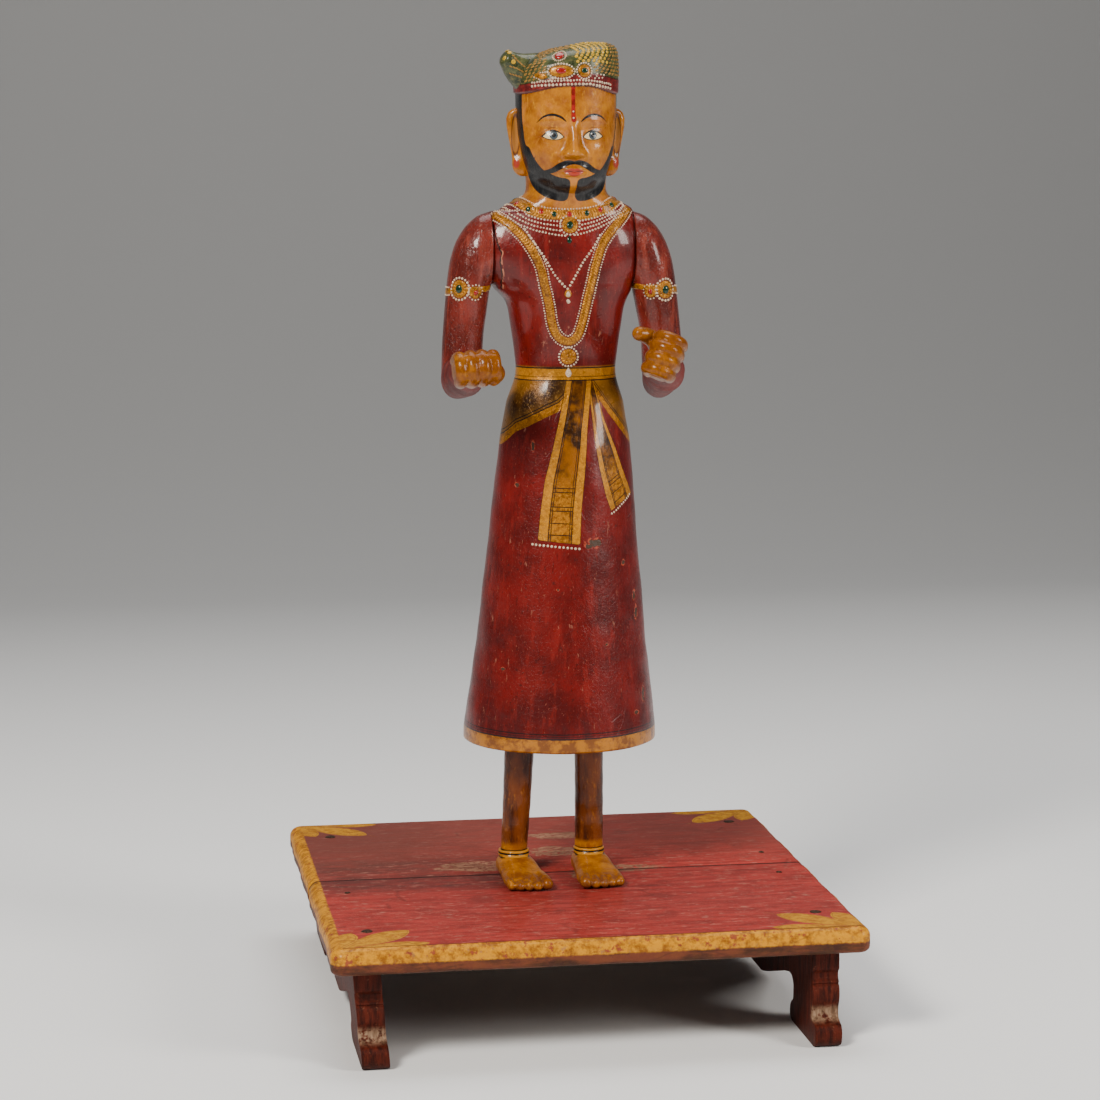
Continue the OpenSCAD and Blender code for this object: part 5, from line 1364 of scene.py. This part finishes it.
# ears: long flat flaps with a dished front and a red spot on the lobe
p = Paint("ear_paint")
px, py, pz = p.xyz()
c = aged_ochre(p, 0.8)
# painted shade: the dished front of each ear is painted a darker ochre
c = p.mix(p.inside(p.add(p.attr("dish"), 0.0), 0.8), c, (0.36, 0.14, 0.025))
c = p.mix(p.line(p.attr("dish"), 0.4, 0.35, 0.3), c, (0.10, 0.03, 0.010))
c = p.mix(p.inside(p.attr("spot"), 0.6), c, (0.34, 0.035, 0.015))
h_, k_ = gesso(p)
EAR = p.done(c, 0.3, coat=0.7, coat_rough=0.1, normal=p.bump(h_, k_, 0.0016))
for sd, side in (("right", -1), ("left", 1)):
    prof = [(58, 40.0, 2.0), (59.5, 42.6, 3.4), (63, 45.4, 4.3), (68, 46.6, 4.4), (73, 46.4, 4.2), (80, 47.4, 4.3), (90, 49.4, 4.6), (100, 51.2, 4.8), (107, 51.6, 4.7),
            (112, 50.0, 4.2), (115, 46.6, 3.3), (116.6, 42.0, 2.0)]
    fine_z = np.linspace(prof[0][0], prof[-1][0], 56)
    rings, dish = [], []
    n = 56
    t = np.arange(n) * 2 * math.pi / n
    pz_ = np.array(prof)
    for z in fine_z:
        xo, hd = np.interp(z, pz_[:, 0], pz_[:, 1]), np.interp(z, pz_[:, 0], pz_[:, 2])
        xi = 34.0
        c_, s_ = np.cos(t), np.sin(t)
        u_ = np.sign(c_) * np.abs(c_) ** 0.8
        xx = (xo + xi) / 2 + u_ * (xo - xi) / 2
        yy = 4.5 + s_ * hd + 0.10 * (xx - 40)
        zc = (z - 90) / 22
        inner = bell(xx, 43.6 + 0.5 * zc, 3.4) * ramp(abs(z - 92), 22, 14)
        yy = yy + (s_ < -0.1) * inner * 2.4
        rings.append(np.stack([HEAD_X + side * xx, yy, np.full(n, SZ + z)], -1))
        dish.append(np.where(s_ < 0, np.hypot((xx - 44.0) / 3.0, (z - 93) / 15.0) * 3 - 3, 9.0))
    rings = np.array(rings)
    if side < 0:
        rings = rings[:, ::-1]
        dish = [q[::-1] for q in dish]
    v, f = loft(rings)
    dish = np.r_[np.concatenate(dish), 9, 9]
    spot = np.hypot((np.abs(v[:, 0] - HEAD_X) - 43.5) / 1.0, (v[:, 2] - SZ - 69) / 1.6) - 2.6 + (v[:, 1] > 3) * 20
    make("ear_" + sd, v, f, EAR, attrs={"dish": dish, "spot": spot})

# armlets
for sd, big, small in (("right", (-91, -17, 623), (-77.5, -21, 620)), ("left", (88, -20, 621), (74.5, -19.5, 619.5))):
    U = bvh["upper_" + sd]
    g_, p_, st_, st2 = Pile(), Pile(), Pile(), Pile()
    side = ARMS[sd]["side"]
    c = np.array([side * (ARM0 + 24), 1.0, 622.0 + dz])
    ringp = [c + np.array([math.cos(a) * 30, math.sin(a) * 30, 0]) for a in np.linspace(0, 2 * math.pi, 25)[:-1]]
    g_.ribbon(U, ringp, 5.0, 0.5, closed=True)
    for off in (-3.4, 3.4):
        p_.dots(U, [q + np.array([0, 0, off]) for q in ringp], 0.7, 2.4, closed=True,
                skip=lambda q: np.linalg.norm(q - np.array(big) - [0, 0, dz]) < 11 or np.linalg.norm(q - np.array(small) - [0, 0, dz]) < 8 or side * q[0] < ARM0 + 12)
    rosette(U, np.array(big) + [0, 0, dz], 9.4, g_, p_, st_, 20, stone_r=0.40)
    rosette(U, np.array(small) + [0, 0, dz], 6.6, g_, p_, st2, 14, stone_r=0.36)
    body = ARMS[sd]["body"]
    g_.shape("armlet_gold_" + sd, GILT, body, "sleeve")
    p_.shape("armlet_dots_" + sd, PEARL, body, "sleeve")
    st_.shape("armlet_green_stone_" + sd, EMERALD, body, "sleeve")
    st2.shape("armlet_red_stone_" + sd, RUBY, body, "sleeve")

# anklets: nothing is added here; the feet below carry them
for sd in ("right", "left"):
    pass

# ---------------------------------------------------------------- legs and feet
for sd in ("right", "left"):
    lo_, hi_ = box("leg_" + sd)
    x0 = -41.5 if sd == "right" else 26.0
    lean = math.tan(math.radians(3.2 if sd == "right" else 0.0))
    ly = (lo_[1] + hi_[1]) / 2
    n = 48
    t = np.arange(n) * 2 * math.pi / n
    rings = []
    for z in np.r_[BT + 15, np.linspace(BT + 18, RZ + 6, 60)]:
        k = (z - BT - 18) / 105
        r = (11.6 + 1.6 * k) if sd == "right" else (12.5 + 0.1 * k)
        r = r * (1 + 0.012 * np.sin(3 * t + z * 0.05) + 0.008 * np.sin(z * 0.31))
        rings.append(np.stack([x0 + lean * (z - BT - 18) + r * np.cos(t), ly + r * np.sin(t), np.full(n, z)], -1))
    v, f = loft(rings)
    make("leg_carved_" + sd, v, f, SKIN, replaces=["leg_" + sd])
    bvh["leg_" + sd] = BVHTree.FromPolygons([Vector(q) for q in v], f)
    # foot
    slew = 5.0 if sd == "right" else 1.0
    fl, fh = box("foot_" + sd)
    parts = []
    n = 48
    t = np.arange(n) * 2 * math.pi / n
    wide = [(-16, 8), (-13.5, 13), (0, 16.2), (30, 17.8), (52, 19.8), (60, 19.6), (64, 18)]
    tall = [(-16, 9), (-13, 15.5), (0, 18), (15, 17.5), (34, 13.2), (52, 10.5), (60, 9.5), (64, 6)]
    rings = []
    for s in np.r_[-16, -15, -13, np.arange(-10, 60, 2.5), 61, 63, 64.5]:
        w, h = tab(s, wide, 2.5), tab(s, tall, 2.5)
        c, q = np.cos(t), np.sin(t)
        u, vv = np.sign(c) * np.abs(c) ** 0.72, np.sign(q) * np.abs(q) ** 0.72
        sk = slew * max(0, s) / 75
        rings.append(np.stack([x0 + sk + w * u, np.full(n, ly - s), BT + 0.3 + h / 2 * (1 + vv)], -1))
    parts.append(loft(rings))
    order = (0, 1, 2, 3, 4) if sd == "right" else (4, 3, 2, 1, 0)
    reach = {0: 70.0, 1: 74.0, 2: 74.5, 3: 73.5, 4: 73.0}
    for i in range(5):
        # toes from the outer to the inner side; the big toe is inside
        j = i if sd == "right" else 4 - i
        u = (-16.0, -8.6, -1.2, 6.2, 14.6)[i] if sd == "right" else (-14.6, -6.2, 1.2, 8.6, 16.0)[i]
        r = (4.0, 3.9, 4.0, 4.2, 5.2)[j]
        ln = (66.5, 68.5, 70.0, 71.0, 70.5)[j]
        sk = slew
        path = smooth_line([(x0 + sk * 0.6 + u * 0.93, ly - 44, BT + 8.2), (x0 + sk * 0.8 + u, ly - 58, BT + r + 2.2), (x0 + sk + u, ly - ln + r, BT + r + 0.4)], 2.0)
        parts.append(tube(path, np.linspace(r * 0.9, r, len(path)), 16))
    rings = [np.stack([x0 + r * np.cos(t), ly + r * np.sin(t), np.full(n, BT + z)], -1)
             for z, r in ((9, 14.2), (14, 13.8), (16.6, 13.1), (17.4, 13.5), (18.2, 14.1), (19.1, 14.1), (19.9, 12.9), (20.7, 13.8), (21.6, 13.8), (22.5, 12.6))]
    parts.append(loft(rings))
    fv, ff = fuse("foot_" + sd, parts, 0.7, 2, None)
    make("foot_carved_" + sd, fv, ff, SKIN, replaces=["foot_" + sd])
    bvh["foot_" + sd] = BVHTree.FromPolygons([Vector(q) for q in fv], ff)

# ---------------------------------------------------------------- bench
def plank(name, front, mat):
    s = -1 if front else 1
    top_r, low_r = 9.0, 5.0
    layers = []
    for ph in np.linspace(90, 0, 8):
        a = math.radians(ph)
        layers.append((low_r * (1 - math.cos(a)) if False else low_r - low_r * math.cos(a), UNDER + low_r - low_r * math.sin(a), 0.4))
    for ph in np.linspace(0, 90, 12):
        a = math.radians(ph)
        layers.append((top_r - top_r * math.cos(a), BT - top_r + top_r * math.sin(a), 0.4 + 0.8 * (ph / 90) ** 3))
    rings = []
    for inset, z, gap in layers:
        hx, hy, r = HX - inset, HY - inset, max(10 - inset * 0.6, 3)
        jy = 3.0 + s * gap
        pts = []
        # along the joint, then round the outer corners, anticlockwise seen from above
        ang = np.linspace(0, 90, 9)
        if front:
            c = [(-hx + r, -hy + r, 180), (hx - r, -hy + r, 270)]
            pts += [(x, jy) for x in np.linspace(hx, -hx, 41)]
        else:
            c = [(hx - r, hy - r, 0), (-hx + r, hy - r, 90)]
            pts += [(x, jy) for x in np.linspace(-hx, hx, 41)]
        for i, (cx, cy, a0) in enumerate(c):
            arc = [(cx + r * math.cos(math.radians(a0 + q)), cy + r * math.sin(math.radians(a0 + q))) for q in ang]
            if i == 0:
                st = np.array(pts[-1]), np.array(arc[0])
                pts += [tuple(st[0] + (st[1] - st[0]) * q) for q in np.linspace(0, 1, 16)[1:-1]]
                pts += arc
            else:
                st = np.array(pts[-1]), np.array(arc[0])
                pts += [tuple(st[0] + (st[1] - st[0]) * q) for q in np.linspace(0, 1, 31)[1:-1]]
                pts += arc
        st = np.array(pts[-1]), np.array(pts[0])
        pts += [tuple(st[0] + (st[1] - st[0]) * q) for q in np.linspace(0, 1, 16)[1:-1]]
        rings.append([(x, y, z) for x, y in pts])
    rings = np.array(rings, float)
    # worn, slightly wavy edges
    m = rings.shape[0]
    X, Y, Z = rings[..., 0], rings[..., 1], rings[..., 2]
    wav = 0.5 * np.sin(X * 0.041 + 1.3) + 0.35 * np.sin(X * 0.13) + 0.3 * np.sin(Y * 0.09 + 0.7)
    edge = ramp(np.abs(Y), HY - 14, HY - 2)
    rings[..., 1] = Y - np.sign(Y) * edge * (0.9 + wav * 0.6)
    edge = ramp(np.abs(X), HX - 14, HX - 2)
    rings[..., 0] = X - np.sign(X) * edge * (0.9 + 0.5 * np.sin(Y * 0.07) + 0.3 * np.sin(Y * 0.19 + 1))
    v = rings.reshape(-1, 3)
    n = rings.shape[1]
    f = []
    for j in range(m - 1):
        for i in range(n):
            f.append([j * n + i, j * n + (i + 1) % n, (j + 1) * n + (i + 1) % n, (j + 1) * n + i])
    f.append([i for i in range(n)][::-1])
    f.append([(m - 1) * n + i for i in range(n)])
    o = make(name + "_painted", v, f, mat, replaces=[name])
    return o


plank("plank_front", True, BENCH)
plank("plank_back", False, BENCH)

FOOT_PROFILE_IN = [(0, 12), (11, 12), (22, 12.4), (45, 18.2), (75, 27), (98, 34), (112, 37.6), (121, 39.6), (129, 39.6), (134, 37.6), (137.4, 33.5),
                   (137.8, 27), (137.6, 22), (136, 19.6), (132, 17.4), (128.4, 14), (126.6, 9.5), (127, 5), (129.6, 1.6), (134, 0)]
FOOT_PROFILE_OUT = [(208, 0), (213.4, 2.4), (216, 7.6), (216, 14), (213.2, 18.6), (208, 20.6), (203.6, 23.4), (202, 28), (204, 34.5), (206, 40), (205.8, 47),
                    (204.2, 50.6), (202.2, 51.8), (203.8, 53.4), (201.0, 56.2), (200.2, 60), (201.8, 62.6), (203.8, 64.4), (204.2, 72), (204, UNDER)]


def end_board(name, x_low, x_high, wear, slot_mat):
    half = even(smooth_line(FOOT_PROFILE_IN, 0.8), 1.6)
    outer = even(smooth_line(FOOT_PROFILE_OUT[:-1], 0.7), 1.4)
    outer = np.vstack([outer, FOOT_PROFILE_OUT[-1]])
    front = np.vstack([half, [[150, 0], [165, 0], [180, 0], [195, 0]], outer])
    line = [(-p[0], p[1]) for p in front] + [(p[0], p[1]) for p in front[::-1][:-1]]
    line = np.array(line)
    n = len(line)
    tan = (x_high - x_low) / UNDER
    v = []
    for off in (-11.5, 11.5):
        for y, z in line:
            v.append((x_low + tan * z + off, y, z))
    f = [[i for i in range(n)], [n + i for i in range(n)][::-1]]
    f += [[i, i + n, (i + 1) % n + n, (i + 1) % n] for i in range(n)]
    o = make(name + "_carved", v, f, slot_mat, smooth=False, replaces=[name])
    bm = bmesh.new()
    bm.from_mesh(o.data)
    bmesh.ops.recalc_face_normals(bm, faces=bm.faces)
    bm.to_mesh(o.data)
    bm.free()
    b = o.modifiers.new("worn_edges", "BEVEL")
    b.width = 0.0016
    b.segments = 3
    b.limit_method = "ANGLE"
    b.angle_limit = math.radians(50)
    o.data.polygons.foreach_set("use_smooth", [True] * len(o.data.polygons))
    w = o.modifiers.new("weights", "WEIGHTED_NORMAL")
    w.keep_sharp = True
    return o


end_board("end_board_left", 190, 190, 0, ENDS)
end_board("end_board_right", -188, -188 - UNDER * math.tan(math.radians(4.6)), 1, ENDS)

# ---------------------------------------------------------------- nails
for node in ("nail_front_right", "nail_front_left", "nail_back_right", "nail_back_left",
             "small_nail_front_right", "small_nail_front_left", "small_nail_back_left"):
    a, b = box(node)
    cx, cy = (a[0] + b[0]) / 2, (a[1] + b[1]) / 2
    big = not node.startswith("small")
    r = (b[0] - a[0]) / 2
    top, bot = b[2], a[2]
    n = 40
    t = np.arange(n) * 2 * math.pi / n
    prof = [(0.3, bot), (1.0 if big else 0.7, bot + 2.5), (1.9 if big else 1.3, bot + 5), (1.9 if big else 1.3, top - 2.4), (r * 0.85, top - 2.0),
            (r * 0.97, top - 0.9), (r, top - 0.55), (r * 0.93, top - 0.2), (r * 0.72, top + 0.25), (r * 0.4, top + 0.5), (r * 0.1, top + 0.55)]
    rings = []
    for rr, z in prof:
        w = 1 + (0.05 * np.sin(3 * t + cx) + 0.04 * np.sin(5 * t + cy)) * (z > top - 2.1)
        rings.append(np.stack([cx + rr * w * np.cos(t), cy + rr * w * np.sin(t), np.full(n, z) + 0.12 * np.sin(2 * t + cx) * (z > top - 1)], -1))
    v, f = loft(rings)
    make(node + "_forged", v, f, IRON, replaces=[node])

# ---------------------------------------------------------------- hidden pegs and dowels keep the CAD mesh
for name in ("shoulder_peg_right", "shoulder_peg_left", "elbow_peg_right", "elbow_peg_left", "foot_peg_right", "foot_peg_left",
             "plank_dowel_right", "plank_dowel_left"):
    o = frame["nodes"][name]
    o.data.materials.clear()
    o.data.materials.append(WOOD)

# ---------------------------------------------------------------- camera, floor, light
cam_data = bpy.data.cameras.new("camera")
cam = bpy.data.objects.new("camera", cam_data)
bpy.context.scene.collection.objects.link(cam)
cam_data.sensor_width = 36
cam_data.lens = 98.18
cam_data.clip_end = 50
cam.location = (-0.43117, -2.56045, 0.76838)
cam.rotation_euler = Vector((0.1607, 0.9766, -0.1429)).to_track_quat("-Z", "Y").to_euler()
cam_data.dof.use_dof = False
bpy.context.scene.camera = cam

R, WALL, BEND = 7.0, 3.4, 1.2
prof = [(-R, 0.0), (WALL - BEND, 0.0)]
prof += [(WALL - BEND + BEND * math.sin(a), BEND - BEND * math.cos(a)) for a in np.linspace(0, math.pi / 2, 14)[1:]]
prof += [(WALL, 5.0)]
v = [(x, y, z) for y, z in prof for x in (-R, R)]
f = [[2 * i, 2 * i + 1, 2 * i + 3, 2 * i + 2] for i in range(len(prof) - 1)]
me = bpy.data.meshes.new("floor")
me.from_pydata(v, [], f)
me.polygons.foreach_set("use_smooth", [True] * len(me.polygons))
floor = bpy.data.objects.new("floor", me)
bpy.context.scene.collection.objects.link(floor)
pf = Paint("floor_with_painted_falloff")
fx_, fy_, fz_ = pf.xyz()
# painted shade: the floor and backdrop grade from pale grey near the bench to mid grey on the wall behind
me.materials.append(pf.done(pf.mix(pf.span(fy_, 300, 3300), (0.90, 0.90, 0.90), (0.33, 0.33, 0.33)), 0.9, spec=0.1))


def lamp(name, at, aim, size, power, color=(1, 1, 1)):
    ld = bpy.data.lights.new(name, "AREA")
    ld.shape = "RECTANGLE"
    ld.size, ld.size_y = size
    ld.energy = power
    ld.color = color
    o = bpy.data.objects.new(name, ld)
    bpy.context.scene.collection.objects.link(o)
    o.location = at
    o.rotation_euler = (Vector(aim) - Vector(at)).to_track_quat("-Z", "Y").to_euler()
    return o


lights = [lamp("key", (-1.7, -1.9, 2.3), (0, 0, 0.4), (0.8, 0.8), 108, (1.0, 0.95, 0.87)),
          lamp("fill", (2.1, -1.7, 1.5), (0, 0, 0.4), (0.8, 1.1), 54, (1.0, 0.96, 0.90)),
          lamp("top", (0.2, 0.7, 3.0), (0, 0, 0.4), (2.4, 1.6), 52)]
w = bpy.data.worlds.new("studio")
bpy.context.scene.world = w
w.use_nodes = True
bg = w.node_tree.nodes["Background"]
bg.inputs["Color"].default_value = (0.9, 0.93, 1.0, 1)
bg.inputs["Strength"].default_value = 0.12
